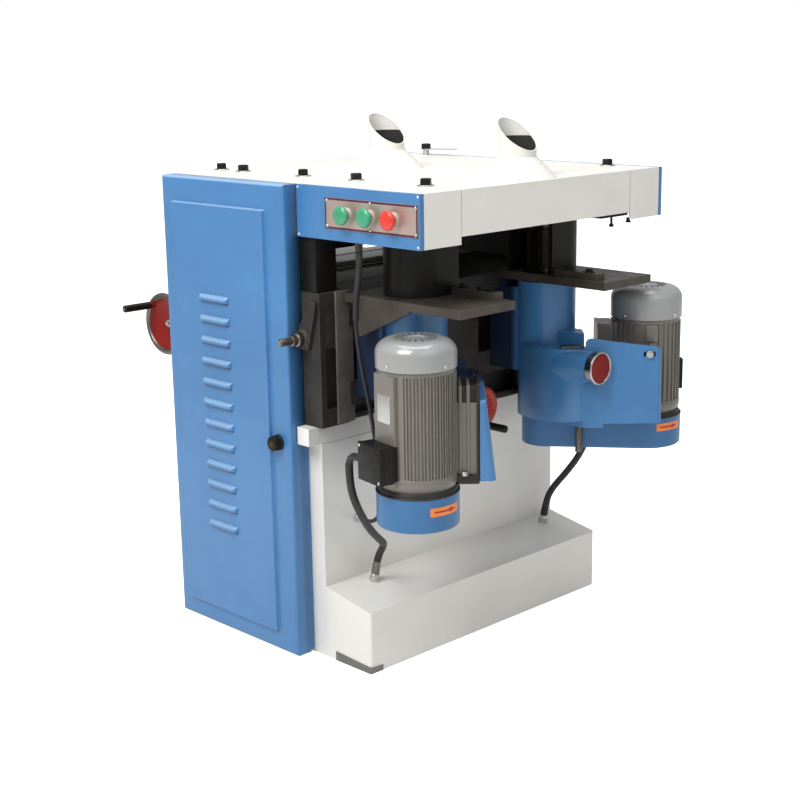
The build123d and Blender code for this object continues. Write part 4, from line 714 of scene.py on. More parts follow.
# Middle and half width of each joint across the bed
BED_JOINTS = ((-608, 5), (-842, 6), (-470, 3))
KNOB = (11, 177, 700)
KNOB_LOCAL = np.array((114.3, -203.1, 700))
KNOB_BACK = 17
INFEED_WHEEL = (-1057.5, -372, 759)
INFEED_RIM_R = 77
INFEED_GRIP_R = 69
INFEED_GRIP_TURN = radians(136)
LIFT_WHEEL = (-300, 88, 564)
LIFT_RIM_R = 48
LIFT_GRIP_R = 42
LIFT_GRIP_TURN = radians(250)
GRIP_END = 94
PLINTH_X1 = -212
PLINTH_FRONT_Y = -411.5
SHOE_BACK_X = -338
SHOE_SIDE_Y = -372
SHOE_T = 2
MOTOR_GLANDS = ((-330, -284.5), (-330, 367.5))
WALL_GLAND = (-371, -304.5, 340)
HOOD_GLAND = (-203, -429, 1058)
GLAND_H = 22
PLINTH_BACK_X = -371
PLINTH_BACK_Z = 186
PLINTH_FALL = 29
PLINTH_RUN = 159
PLINTH_SLOPE = np.array((PLINTH_FALL, 0, PLINTH_RUN)) / np.hypot(PLINTH_FALL, PLINTH_RUN)


def above_plinth(x, y, height):
    """Point at a height square to the plinth's sloping top."""
    top = PLINTH_BACK_Z - (x - PLINTH_BACK_X) * PLINTH_FALL / PLINTH_RUN
    return np.array((x, y, top)) + height * PLINTH_SLOPE


class PlanerPaint(PropertyGroup):
    blue: FloatVectorProperty(name="Blue", description="Blue enamel of door, pans and side heads",
                              subtype="COLOR", size=4, min=0, max=1, default=linear("#4680b6"))
    white: FloatVectorProperty(name="White", description="Warm white enamel of cabinet and hood",
                               subtype="COLOR", size=4, min=0, max=1, default=linear("#e8e6e0"))
    motor: FloatVectorProperty(name="Motor", description="Grey-brown paint of the side motors",
                               subtype="COLOR", size=4, min=0, max=1, default=linear("#757069"))
    cowl: FloatVectorProperty(name="Cowl", description="Grey paint of the motors' fan cowls",
                              subtype="COLOR", size=4, min=0, max=1, default=linear("#95989a"))


class PlanerSizes(PropertyGroup):
    motor_cable: FloatProperty(name="Motor cable", description="Diameter of the motor cables",
                               unit="LENGTH", default=14 * MM)
    control_cable: FloatProperty(name="Control cable", description="Diameter of the control cable",
                                 unit="LENGTH", default=10 * MM)
    louvre_out: FloatProperty(name="Louvre depth", description="How far a louvre stands out of the panel",
                              unit="LENGTH", default=11 * MM)
    door_sheet: FloatProperty(name="Door sheet", description="Thickness of the door's folded sheet",
                              unit="LENGTH", default=2 * MM)


class PLANER_OT_finishes(Operator):
    """Give every solid that stays in sight its finish"""
    bl_idname = "planer.finishes"
    bl_label = "Finishes"

    def execute(self, context):
        make_finishes(context.scene.planer_paint)
        for node, finish in NODE_FINISH.items():
            obj = frame["nodes"][node]
            obj.data.materials.clear()
            obj.data.materials.append(FINISHES[finish])
        return {"FINISHED"}


class PLANER_OT_hood_bolts(Operator):
    """Hexagon bolts on wide washers, on the hood's roof"""
    bl_idname = "planer.hood_bolts"
    bl_label = "Hood bolts"

    def execute(self, context):
        washers, heads = [], []
        for index, (x, y) in enumerate(BOLT_SPOTS[:-1]):
            washers.append(disc((x, y, HOOD_TOP), UP, WASHER_R, WASHER_T))
            heads.append(hex_head((x, y, HOOD_TOP + WASHER_T - 0.2), UP, BOLT_R, BOLT_H, 0.4 * index))
        x, y = BOLT_SPOTS[-1]
        washers.append(lathe(((9, 0), (9, STRIP_LIFT - 1), (8, STRIP_LIFT)), (x, y, HOOD_TOP), UP, 24))
        heads.append(hex_head((x, y, HOOD_TOP + STRIP_LIFT + 2), UP, BOLT_R, BOLT_H))
        piece("hood_washers", washers, *ZINC, "frame")
        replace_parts(piece("hood_bolt_heads", heads, *BOLT, "frame"), "hood_bolts")
        return {"FINISHED"}


class PLANER_OT_outlets(Operator):
    """Rolled rims of the two suction outlets, and near black liners painted as the shade deep in their
    throats
    """
    bl_idname = "planer.outlets"
    bl_label = "Suction outlets"

    def execute(self, context):
        angle = np.linspace(0, 2 * pi, 64, endpoint=False)
        c, s = np.cos(angle), np.sin(angle)
        rims, throats = [], []
        for x in OUTLET_XS:
            mid_r = (OUTLET_R + OUTLET_BORE_R) / 2
            rim = np.stack((x + mid_r * c, mid_r * s, OUTLET_MOUTH_Z - mid_r * c * OUTLET_TILT), axis=-1)
            rims.append(tube(rim, OUTLET_ROLL_R, 12, closed=True))
            top = np.minimum(OUTLET_THROAT_Z, OUTLET_MOUTH_Z - OUTLET_BORE_R * c * OUTLET_TILT - 3)
            low = np.full_like(top, HOOD_TOP - 2)
            outer, inner = OUTLET_BORE_R - 0.1, OUTLET_BORE_R - 1.1
            walls = []
            for r, z in ((outer, low), (outer, top), (inner, top), (inner, low)):
                walls.append(np.stack((x + r * c, r * s, z), axis=-1))
            throats.append(loft(walls, closed=True))
        piece("outlet_rims", rims, *WHITE, "frame")
        # Near black liners: painted shade deep in the throats
        piece("outlet_throats", throats, *SHADE_AND_JOINT_BLACK, "frame")
        return {"FINISHED"}


class PLANER_OT_hood_fittings(Operator):
    """Strip on the hood's roof, catch under its rear corner and dots of the pans' welds"""
    bl_idname = "planer.hood_fittings"
    bl_label = "Hood fittings"

    def execute(self, context):
        line = np.array(((-816, 389, 0), (-785, 394, 0.5), (-740, 403, 1.5), (-698, 410, 2.5)))
        line[:, 2] += HOOD_TOP + STRIP_LIFT + 1
        along = np.gradient(line[:, :2], axis=0)
        across = np.stack((-along[:, 1], along[:, 0], np.zeros(len(line))), axis=-1)
        across *= 11 / np.linalg.norm(across, axis=1)[:, None]
        lift = np.array((0, 0, 1.2))
        low, high = line - lift, line + lift
        strip = np.stack((low - across, low + across, high + across, high - across), axis=1)
        piece("roof_strip", [loft(strip)], *ZINC, "frame")
        long_stud = ((3, 0), (3, 20), (6, 22), (6, 27), (4, 28))
        short_stud = ((5, 0), (5, 8), (7, 9), (7, 12))
        catch = [
            rounded_box((-42, 196, HOOD_FACE_BOTTOM - 7), (-4, 302, HOOD_FACE_BOTTOM - 1), 1),
            lathe(long_stud, (-24, 262, HOOD_FACE_BOTTOM - 6), DOWN, 16),
            lathe(short_stud, (-10, 312, HOOD_FACE_BOTTOM - 14), DOWN, 16),
        ]
        piece("hood_catch", catch, *BOLT, "frame")
        dots = [dome((x, PAN_FRONT, z), OPERATOR, 3.2, 1.2, 3, 12) for x in WELD_XS for z in WELD_ZS]
        piece("pan_welds", dots, *WHITE, "frame")
        return {"FINISHED"}


class PLANER_OT_controls(Operator):
    """Border and screws of the control plate, collars and domed caps of the buttons"""
    bl_idname = "planer.controls"
    bl_label = "Controls"

    def execute(self, context):
        inset, width, screw_in = 0.4, 4.5, 6
        x0, x1 = PLATE_X[0] + inset, PLATE_X[1] - inset
        z0, z1 = PLATE_Z[0] + inset, PLATE_Z[1] - inset
        back, front = PLATE_FRONT + 0.5, PLATE_FRONT - 0.4
        bars = [rounded_box((x0, front, z), (x1, back, z + width), 0.3) for z in (z0, z1 - width)]
        bars += [rounded_box((x, front, z0), (x + width, back, z1), 0.3) for x in (x0, x1 - width)]
        piece("plate_border", bars, "border", "red_enamel", "frame")
        xs, zs = (x0 + screw_in, (x0 + x1) / 2, x1 - screw_in), (z0 + screw_in, z1 - screw_in)
        spots = [(x, PLATE_FRONT, z) for x in xs for z in zs]
        piece("plate_screws", [dome(spot, OPERATOR, 4.2, 2.4) for spot in spots], *ZINC, "frame")
        top = COLLAR_H + 0.4
        profile = ((11.4, 0), (17.5, 0), (17.5, COLLAR_H - 1), (16, top), (11.4, top))
        centres = [(x, PLATE_FRONT, BUTTON_Z) for x in BUTTON_XS.values()]
        collars = [lathe(profile, centre, OPERATOR, 40, closed=True) for centre in centres]
        piece("button_collars", collars, "pale", "plate_metal", "frame")
        t = np.linspace(0, pi / 2, 8)
        crown = np.stack((BUTTON_R * np.cos(t) ** 0.6, 6 + 7 * np.sin(t)), axis=-1)
        cap_profile = np.concatenate((((BUTTON_R - 2.5, 0), (BUTTON_R - 0.5, 1), (BUTTON_R, 2.5)), crown))
        for name, x in BUTTON_XS.items():
            foot = PLATE_FRONT - COLLAR_H - BUTTON_GAP
            cap = [lathe(cap_profile, (x, foot, BUTTON_Z), OPERATOR, 40),
                   lathe(((10.2, -18), (10.2, 1)), (x, foot, BUTTON_Z), OPERATOR, 24)]
            colour = "red_cap" if name == "stop_button" else "green"
            plastic = "red_plastic" if name == "stop_button" else "green_plastic"
            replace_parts(piece(name + "_cap", cap, colour, plastic, name), name)
        return {"FINISHED"}


def fold_lines(limits, inner):
    """Lines across a folded sheet: places along its face and how far each stands back at its folds."""
    turn = np.linspace(0, pi / 2, 5)
    bend = DOOR_EDGE_R * (1 - np.cos(turn))
    drop = DOOR_EDGE_R * (1 - np.sin(turn))
    depth = DOOR_Y[1] - DOOR_Y[0]
    inner = np.unique(np.round(inner, 3))
    places = np.concatenate(((limits[0],), limits[0] + bend, inner, limits[1] - bend[::-1], (limits[1],)))
    stand_back = np.concatenate(((depth,), drop, np.zeros(len(inner)), drop[::-1], (depth,)))
    return places, stand_back


def ramp(values, limits, width):
    """Rise from 0 outside the limits to 1 at a width inside them."""
    return np.clip(np.minimum(values - limits[0], limits[1] - values) / width, 0, 1)


class PLANER_OT_door(Operator):
    """Folded door sheet with its pressed panel and louvres, hinge knuckles and lock"""
    bl_idname = "planer.door"
    bl_label = "Drive door"

    def execute(self, context):
        sizes = context.scene.planer_sizes
        out = sizes.louvre_out / MM
        steps = np.array((-1.5, 0, 0.3, 1, 2.2, 4, 6.5, 9.5, 12, 13.5))
        bevel = np.array((-1.5, 0, 0.3, 0.7, 0.9, 1, 1.5)) * PANEL_EDGE
        ends = (LOUVRE_X[0] + steps, np.linspace(*LOUVRE_X, 6)[1:-1], LOUVRE_X[1] - steps)
        plain_x, plain_z = (-870, -800, -560, -450), (30, 150, 960, 1040, 1150)
        x_inner = np.concatenate((PANEL_X[0] + bevel, *ends, PANEL_X[1] - bevel, plain_x))
        parts = (-0.06, 0, 0.015, 0.05, 0.1, 0.14, 0.25, 0.4, 0.55, 0.7, 0.82, 0.9, 0.96, 1, 1.06)
        rise = np.add.outer(LOUVRE_LOWS, LOUVRE_H * np.array(parts)).ravel()
        z_inner = np.concatenate((PANEL_Z[0] + bevel, rise, PANEL_Z[1] - bevel, plain_z))
        x, x_back = fold_lines(DOOR_X, x_inner)
        z, z_back = fold_lines(DOOR_Z, z_inner)
        across = np.sqrt(1 - (1 - ramp(x, LOUVRE_X, LOUVRE_ROUND)) ** 2)
        v = np.clip((z[:, None] - LOUVRE_LOWS[None, :]) / LOUVRE_H, 0, 1)
        reach = np.where(v < LOUVRE_CREST, LOUVRE_CREST, 1 - LOUVRE_CREST)
        along = np.sqrt(np.clip(1 - ((v - LOUVRE_CREST) / reach) ** 2, 0, 1)).max(axis=1)
        panel = PANEL_RISE * ramp(x, PANEL_X, PANEL_EDGE)[None, :] * ramp(z, PANEL_Z, PANEL_EDGE)[:, None]
        height = panel + out * along[:, None] * across[None, :]
        y = DOOR_Y[0] - height + np.maximum(x_back[None, :], z_back[:, None])
        grid = np.stack((np.broadcast_to(x, y.shape), y, np.broadcast_to(z[:, None], y.shape)), axis=-1)
        sheet = (grid.reshape(-1, 3), grid_faces(len(z), len(x), closed_columns=False))
        door = piece("door_sheet", [sheet], "door_blue", "blue_paint", "drive_door", smooth=radians(40),
                     sheet=True)
        thickness = door.modifiers.new("thickness", "SOLIDIFY")
        thickness.thickness = sizes.door_sheet
        thickness.offset = -1
        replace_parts(door, "drive_door")
        face = DOOR_Y[0] - PANEL_RISE
        gap_x = (LOUVRE_X[0] + 3, LOUVRE_X[1] - 3)
        gaps = [rounded_box((gap_x[0], face - 3, low - 2), (gap_x[1], face + 0.5, low + 1.5), 0.6)
                for low in LOUVRE_LOWS]
        piece("louvre_gaps", gaps, "dark_blue", "blue_paint", "drive_door")
        hinges = []
        for low in HINGE_ZS:
            hinges.append(lathe(((HINGE_R, 0.5), (HINGE_R, HINGE_KNUCKLE - 1), (5.5, HINGE_KNUCKLE)),
                                (HINGE_X, HINGE_Y, low), UP, 24))
            hinges.append(rounded_box((HINGE_X, HINGE_Y - HINGE_R, low + 0.5),
                                      (DOOR_X[0] + 1, HINGE_Y - 1, low + HINGE_KNUCKLE), 0.8))
        piece("door_knuckles", hinges, *BLUE, "drive_door")
        foot = (LOCK_X, DOOR_Y[0] - 0.4, LOCK_Z)
        grip = ((6, -13), (6, 0), (20.6, 0), (21, 1), (21, 4), (19.5, 5.6), (18, 6.5), (18, 8), (19.5, 10),
                (19.5, 19), (18, 22.5), (14.5, 24), (9, 24), (8, 23))
        knob = piece("lock_grip", [lathe(grip, foot, OPERATOR, 8)], *BLACK, "lock_knob", smooth=radians(30))
        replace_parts(knob, "lock_knob")
        core = lathe(((7.8, 22), (7.8, 23.6), (6.4, 24.4), (2, 24.4), (1.6, 23.4)), foot, OPERATOR, 24)
        piece("lock_core", [core], "brass", "plate_metal", "lock_knob")
        return {"FINISHED"}


class PLANER_OT_motors(Operator):
    """Flanges, dark rubber rings painted as the shade inside the belt guards, fins, feet, cowls and screws of
    the side motors, a terminal box and a bare plate
    """
    bl_idname = "planer.motors"
    bl_label = "Side motors"

    def execute(self, context):
        flange = ((60, 13), (86, 13), (88, 15), (90.8, 24), (90.8, 39), (88.5, 42.5), (79, 43))
        # Dark rubber ring round each flange: painted shade inside the belt guard
        shade_ring = ((85, -6), (92, -6), (92, 4), (88, 12), (85, 12))
        for side, head in HEADS.items():
            body = side + "_head"
            axis = (0, 0, head.rim)
            around = motor_place(side, 0)
            at_box = motor_place(side, head.box_turn)
            piece(side + "_flange", [lathe(flange, axis, UP, 64)], *MOTOR_PAINT, body, around)
            piece(side + "_shade_ring", [lathe(shade_ring, axis, UP, 64, closed=True)], *RUBBER, body, around)
            self.ribs(side, head)
            self.feet(side, head)
            self.cowl(side, around)
            low, high = head.box_z
            lid = [dome((BOX_OUT, y, z), OUTFEED, 3.8, 2) for y, z in ((38, high - 8), (-38, low + 8))]
            piece(side + "_lid_screws", lid, *ZINC, body, at_box)
        at_box = motor_place("left", HEADS["left"].box_turn)
        self.left_box(at_box)
        bare = [rounded_box((PAD_OUT - 0.5, -24, 680), (PAD_OUT + 0.9, 26, 744), 0.4)]
        bare += [dome((PAD_OUT + 0.9, y, z), OUTFEED, 2, 1) for y in (-21, 23) for z in (683, 741)]
        piece("left_bare_plate", bare, "zinc", "plate_metal", "left_head", at_box)
        pad = [rounded_box((FIN_R - 6, -16, 742), (FIN_R + 2.5, 16, 785), 2.5)]
        piece("right_pad", pad, *MOTOR_PAINT, "right_head", motor_place("right", -88))
        clip = [rounded_box((FIN_R - 5, -12, 601), (FIN_R + 8, 12, 681), 2.5)]
        piece("right_clip", clip, *BLACK, "right_head", motor_place("right", 0))
        return {"FINISHED"}

    def ribs(self, side, head):
        """Fin roots between the solid's fins, and on the left one more fin in each gap clear of the box."""
        foot, top = head.rim + 24, span(side + "_motor_cowl", 2)[0] - 9
        root = ((FIN_R - 6, foot - 2), (FIN_R - 4, foot), (FIN_R - 4, top), (FIN_R - 6, top + 2))
        angles = np.arange(0, 360, FIN_STEP)
        away = np.abs((angles - head.box_turn + 180) % 360 - 180)
        fin = rounded_box((FIN_R - 8, -1.6, foot), (FIN_R - 0.3, 1.6, top), 1)
        fins = list(spun(fin, angles[away > BOX_HALF_TURN])) if side == "left" else []
        surfaces = [lathe(root, (0, 0, 0), UP, 72), *fins]
        piece(side + "_fins", surfaces, *MOTOR_PAINT, side + "_head", motor_place(side, 0))

    def feet(self, side, head):
        """Foot plate on the motor plate, upright webs, and between them dark iron, painted as the shade in
        their gap, with a bolted flange.
        """
        low, high = head.rim + 20, head.rim + FOOT_LENGTH[side]
        around = motor_place(side, 0)
        webs = [rounded_box((-68, y - 4, low + 6), (13, y + 4, high - 4), 2.5) for y in (-97, -115)]
        piece(side + "_foot_webs", webs, *MOTOR_PAINT, side + "_head", around)
        # Dark iron block, flange and foot plate: painted shade in and under the gap between the webs
        gap_shade = [rounded_box((-64, -135, low), (7, -84, high - 8), 2)]
        gap_shade.append(rounded_box((-80, -140.6, low - 4), (18, -134, high), 2))
        gap_shade.append(rounded_box((-76, -140, low - 6), (22, -86, low + 14), 3))
        piece(side + "_foot_gap_shade", gap_shade, "iron", "dark_casting", side + "_head", around)
        bolt = [disc((16, -106, low + 14), UP, 9, 2), hex_head((16, -106, low + 16), UP, 7, 6)]
        piece(side + "_foot_bolt", bolt, *ZINC, side + "_head", around)

    def cowl(self, side, around):
        """Pressed fan cowl with a rounded crown and a ring of slots."""
        body = side + "_head"
        low, high = span(side + "_motor_cowl", 2)
        t = np.linspace(0, pi / 2, 9)
        crown_r, crown_z = COWL_R - CROWN_IN * (1 - np.cos(t)), high - CROWN_DOWN * (1 - np.sin(t))
        crown = np.stack((crown_r, crown_z), axis=-1)
        foot, eye = ((COWL_R - 3, low + 0.5), (COWL_R, low + 2)), ((20, high + 0.6), (18, high - 1))
        profile = np.concatenate((foot, crown, eye))
        shell = piece(side + "_cowl", [lathe(profile, (0, 0, 0), UP, 72)], "cowl", "motor_grey", body, around)
        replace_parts(shell, side + "_motor_cowl")
        # Dark slots: painted shade behind the cowl's openings
        slots = list(spun(rounded_box((27, -2, high - 1), (50, 2, high + 0.9), 0.8), np.arange(0, 360, 20)))
        piece(side + "_cowl_slots", slots, *SHADE_AND_JOINT_BLACK, body, around)
        outs = [(cos(a), sin(a), 0) for a in np.radians((45, 135, 225, 315))]
        screws = [dome((COWL_R * x, COWL_R * y, low + 11), (x, y, z), 4.5, 3) for x, y, z in outs]
        piece(side + "_cowl_screws", screws, *ZINC, body, around)

    def left_box(self, at_box):
        """Terminal box with its lid, and the bent sleeve from which the cable hangs."""
        low, high = HEADS["left"].box_z
        box = [rounded_box((80, -40, low + 4), (94, 40, high - 4), 2),
               rounded_box((90, -44, low + 1), (121, 44, high - 1), 3),
               rounded_box((119.5, -46, low), (BOX_OUT, 46, high), 3)]
        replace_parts(piece("left_box", box, *BLACK, "left_head", at_box), "left_terminal_box")
        t = np.linspace(0, pi / 2, 10)
        x, drop, top = 112, 112, low + 40
        across, down = drop - BEND_R + BEND_R * np.sin(t), top - BEND_R + BEND_R * np.cos(t)
        bend = np.stack((np.full_like(t, x), across, down), axis=-1)
        path = np.concatenate((((x, 40, top), (x, 60, top)), bend, ((x, drop, 552),)))
        piece("left_bend", [tube(path, 8.4)], *RUBBER, "left_head", at_box)


def wrapped_outline(start_r, end_r, length, steps=40):
    """Outline round two circles on the x axis: each arc runs while its outward direction is that circle's."""
    lean = np.arccos((start_r - end_r) / length)
    far = np.linspace(-lean, lean, steps)
    near = np.linspace(lean, 2 * pi - lean, steps)
    x = np.concatenate((length + end_r * np.cos(far), start_r * np.cos(near)))
    y = np.concatenate((end_r * np.sin(far), start_r * np.sin(near)))
    return np.stack((x, y), axis=-1)


class PLANER_OT_guards(Operator):
    """Rubber edging and plain arrow plates of the belt guards"""
    bl_idname = "planer.guards"
    bl_label = "Belt guards"

    def execute(self, context):
        for side, head in HEADS.items():
            body = side + "_head"
            outline = wrapped_outline(GUARD_SPINDLE_R - 1.2, GUARD_MOTOR_R - 1.2, CENTRES)
            line = np.insert(outline, 2, head.rim, axis=1)
            edging = tube(line, 2.6, 10, closed=True)
            piece(side + "_edging", [edging], *RUBBER, body, head_place(side))
            start, end, middle = ARROW_PLATES[side]
            around = motor_place(side, 0)
            angles = np.linspace(start, end, 24)
            half = np.full_like(angles, ARROW_PLATE_HALF)
            film = arc_band(GUARD_MOTOR_R - 0.2, 0.6, angles, middle - half, middle + half)
            piece(side + "_arrow_plate", [film], "orange", "plate_metal", body, around)
            t = np.linspace(0, 1, 48)
            half = np.where(t < ARROW_NECK, 2.0, 5.5 * (1 - t) / (1 - ARROW_NECK)) + 0.05
            sweep = np.linspace(start + 6, end - 6, 48)[::head.sign]
            arrow = arc_band(GUARD_MOTOR_R + 0.3, 0.4, sweep, middle - half, middle + half)
            piece(side + "_arrow", [arrow], "arrow", "red_enamel", body, around)
        return {"FINISHED"}


class PLANER_OT_posts(Operator):
    """Machined ways, pockets, screw brackets and covers of the two slide posts"""
    bl_idname = "planer.posts"
    bl_label = "Slide posts"

    def execute(self, context):
        ways, pockets, brackets, covers = [], [], [], []
        outline = ((-413, 786), (-382, 786), (-356, 880), (-352, 905), (-366, 905), (-413, 842))

        def both(y0, y1, x, z, radius):
            return [rounded_box((x[0], min(s * y0, s * y1), z[0]), (x[1], max(s * y0, s * y1), z[1]), radius)
                    for s in (-1, 1)]

        ways += both(322, 377, (POST_FACE_X - 1, POST_FACE_X + 4.4), (600, POST_TOP), 1.5)
        for pocket_z in ((848, 871), (800, 829)):
            pockets += both(379, 405, (POST_FACE_X - 1, POST_FACE_X + 0.3), pocket_z, 0.4)
        covers += both(361, POST_FRONT_Y + 1, (-414, -357), (POST_TOP + 0.5, 1057), 1.5)
        for s in (-1, 1):
            near, far = sorted((s * POST_FRONT_Y, s * (POST_FRONT_Y + 12)))
            brackets.append(prism(outline, near, far, 1, 1.5))
            foot = (SCREW_X, s * (POST_FRONT_Y + 6), SCREW_Z)
            brackets.append(lathe(((23, 0), (23, 10), (20, 13)), foot, (0, s, 0), 32))
        piece("post_ways", ways, "way", "dark_casting", "frame")
        # Thin near black plates: painted shade in the posts' pockets
        piece("post_pockets", pockets, *SHADE_AND_JOINT_BLACK, "frame")
        piece("post_covers", covers, "guard", "dark_casting", "frame")
        piece("screw_brackets", brackets, "post", "dark_casting", "frame")
        collar = ((12, 0), (16, 0), (17, 1.5), (17, 13), (15, 14.5), (13, 15), (13, 27), (9, 28))
        tip = ((9.4, 0), (9.4, 34), (8, 36))
        for side, head in HEADS.items():
            ends = [lathe(profile, (SCREW_X, head.sign * y, SCREW_Z), (0, head.sign, 0), sides)
                    for profile, y, sides in ((collar, POST_FRONT_Y + 19.5, 36), (tip, SCREW_TIP_Y - 37, 24))]
            piece(side + "_screw_end", ends, *WORN_STEEL, side + "_screw")
        return {"FINISHED"}


class PLANER_OT_tables(Operator):
    """Bolts and washers on the side tables' bars, dark joints across the bed"""
    bl_idname = "planer.tables"
    bl_label = "Tables"

    def execute(self, context):
        for side, xs in BAR_BOLT_XS.items():
            y = HEADS[side].sign * BAR_Y
            washers = [disc((x, y, BAR_TOP), UP, 12, 2) for x in xs]
            heads = [hex_head((x, y, BAR_TOP + 2), UP, 8.5, 7, 0.3 * i) for i, x in enumerate(xs)]
            piece(side + "_bar_bolts", washers + heads, *BOLT, side + "_head")
        joints = [rounded_box((x - w, -BED_HALF_Y, TABLE_TOP - 1), (x + w, BED_HALF_Y, TABLE_TOP + 0.4), 0.5)
                  for x, w in BED_JOINTS]
        piece("bed_joints", joints, *SHADE_AND_JOINT_BLACK, "frame")
        return {"FINISHED"}


class PLANER_OT_arms(Operator):
    """Rounded webs of the arms, slot bolt, threaded rod, steel tongue and the height knob"""
    bl_idname = "planer.arms"
    bl_label = "Arms"

    def execute(self, context):
        at_head = head_place("right")
        at = (247, -158, HEADS["right"].plate_top - 42)
        bolt = [disc(at, OPERATOR, 9.5, 3), hex_head((at[0], at[1] - 3, at[2]), OPERATOR, 7, 6)]
        piece("right_slot_bolt", bolt, *ZINC, "right_head", at_head)
        for side in HEADS:
            web_finish = "left_blue" if side == "left" else "blue"
            piece(side + "_web", [self.web()], web_finish, "blue_paint", side + "_head", head_place(side))
        turns = np.arange(0, ROD_LENGTH, ROD_PITCH / 2)
        thread = np.stack((ROD_R - ROD_GROOVE * (np.arange(len(turns)) % 2), turns), axis=-1)
        rod = [lathe(thread, (*ROD_AT, 456), UP, 24), disc((*ROD_AT, 532), UP, 16, 8)]
        piece("right_jack_rod", rod, "worn_steel", "bolt_steel", "right_head", at_head)
        tongue = [rounded_box((28, -128, 735), (84, -104, 741), 1.5)]
        piece("right_tongue", tongue, *WORN_STEEL, "right_head", at_head)
        rim = ((8, -95), (8, -15), (38, -15), (41, -14), (42, -12), (42, 5.4), (40.5, 7), (38, 7), (36.5, 5),
               (36, 3))
        knob = piece("knob_rim", [lathe(rim, KNOB, OUTFEED, 64)], "chrome", "steel", "height_knob")
        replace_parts(knob, "height_knob")
        face = lathe(((37, 2), (36.5, 5.2), (34, 6), (10, 4.4), (6, 4.4)), KNOB, OUTFEED, 64)
        piece("knob_face", [face], "red", "red_enamel", "height_knob")
        piece("knob_boss", [self.boss()], *BLUE, "right_head", at_head)
        return {"FINISHED"}

    def boss(self):
        """Swelling under the knob: from a circle behind the knob along its axis, spreading onto the web."""
        around = np.linspace(0, 2 * pi, 48, endpoint=False)
        c, s = np.cos(around), np.sin(around)
        axis = np.array((-1, 1, 0)) / sqrt(2)
        middle = KNOB_LOCAL + KNOB_BACK * axis
        flat = np.array((1, 1, 0)) / sqrt(2)
        ring_points = middle + BOSS_R * (c[:, None] * flat + s[:, None] * np.array(UP))
        foot_x = BOSS_FOOT[0] + BOSS_SPREAD[0] * c
        foot_z = np.minimum(BOSS_FOOT[1] + BOSS_SPREAD[1] * s, ARM_TOP - 4)
        curve = self.web_curve(KNOB[2])
        foot_y = np.interp(foot_x, curve[:, 0], curve[:, 1]) + 5
        deep = (foot_y - ring_points[:, 1]) / axis[1]
        aside_x, aside_z = foot_x - ring_points[:, 0] - deep * axis[0], foot_z - ring_points[:, 2]
        aside = np.stack((aside_x, np.zeros_like(c), aside_z), axis=-1)
        turn = np.linspace(0, pi / 2, 14)[:, None, None]
        rows = ring_points + np.sin(turn) * deep[:, None] * axis + (1 - np.cos(turn)) * aside
        rows[..., 2] = np.minimum(rows[..., 2], ARM_TOP + 1.5)
        return loft(rows)

    def web_curve(self, z):
        """Cubic curve in plan from the quill housing to the motor plate at a height."""
        t = np.linspace(0, 1, 24)[:, None]
        start = QUILL_R * np.array((cos(WEB_START), sin(WEB_START)))
        off = np.array((-sin(WEB_START), cos(WEB_START)))
        end = np.array((WEB_END_X, PLATE_FOOT_Y + (z - PLATE_FOOT_Z) * PLATE_LEAN + 1))
        return ((1 - t) ** 3 * start + 3 * t * (1 - t) ** 2 * (start + 85 * off)
                + 3 * t ** 2 * (1 - t) * (end - (100, 12)) + t ** 3 * end)

    def web(self):
        """Rounded web from the quill housing to the motor plate, leaning with the plate; its foot climbs."""
        sections = []
        for z, climb, inset in WEB_SECTIONS:
            curve = self.web_curve(z)
            face = curve[-1, 1]
            inside = np.array(((WEB_END_X + 3, face + 12), (50, face + 34), WEB_INNER))
            plan = np.concatenate((curve, inside))
            plan += inset * (plan.mean(axis=0) - plan) / WEB_SOFT
            heights = z + climb * np.clip((plan[:, 0] + WEB_SOFT) / (WEB_END_X + WEB_SOFT), 0, 1)
            sections.append(np.concatenate((plan, heights[:, None]), axis=1))
        return loft(sections)


class PLANER_OT_wheels(Operator):
    """Plated rim and nut of the infeed handwheel, dish of the lift handwheel, end caps of their grips"""
    bl_idname = "planer.wheels"
    bl_label = "Handwheels"

    def execute(self, context):
        x, y, z = INFEED_WHEEL
        rim = ring((x, y + 4, z), OPERATOR, INFEED_RIM_R, 8.5, 72)
        piece("infeed_rim", [rim], *WORN_STEEL, "infeed_wheel")
        nut = [disc((x, y + 16, z), OPERATOR, 10, 3), hex_head((x, y + 13, z), OPERATOR, 6.5, 6)]
        piece("infeed_nut", nut, *ZINC, "infeed_wheel")
        across, rise = INFEED_GRIP_R * cos(INFEED_GRIP_TURN), INFEED_GRIP_R * sin(INFEED_GRIP_TURN)
        end = (x + across, y - GRIP_END + 0.4, z + rise)
        piece("infeed_grip_cap", [dome(end, OPERATOR, 4, 1.8)], "galvanised", "galvanised", "infeed_grip")
        x, y, z = LIFT_WHEEL
        dish = lathe(((13, -2), (LIFT_RIM_R, -7), (LIFT_RIM_R, -4), (13, 1)), (x, y, z), OUTFEED, 48,
                     closed=True)
        piece("lift_dish", [dish], "wheel_red", "red_enamel", "lift_wheel")
        across, rise = LIFT_GRIP_R * cos(LIFT_GRIP_TURN), LIFT_GRIP_R * sin(LIFT_GRIP_TURN)
        end = (x + GRIP_END - 0.4, y + across, z + rise)
        piece("lift_grip_cap", [dome(end, OUTFEED, 3.5, 1.5)], *BOLT, "lift_grip")
        return {"FINISHED"}


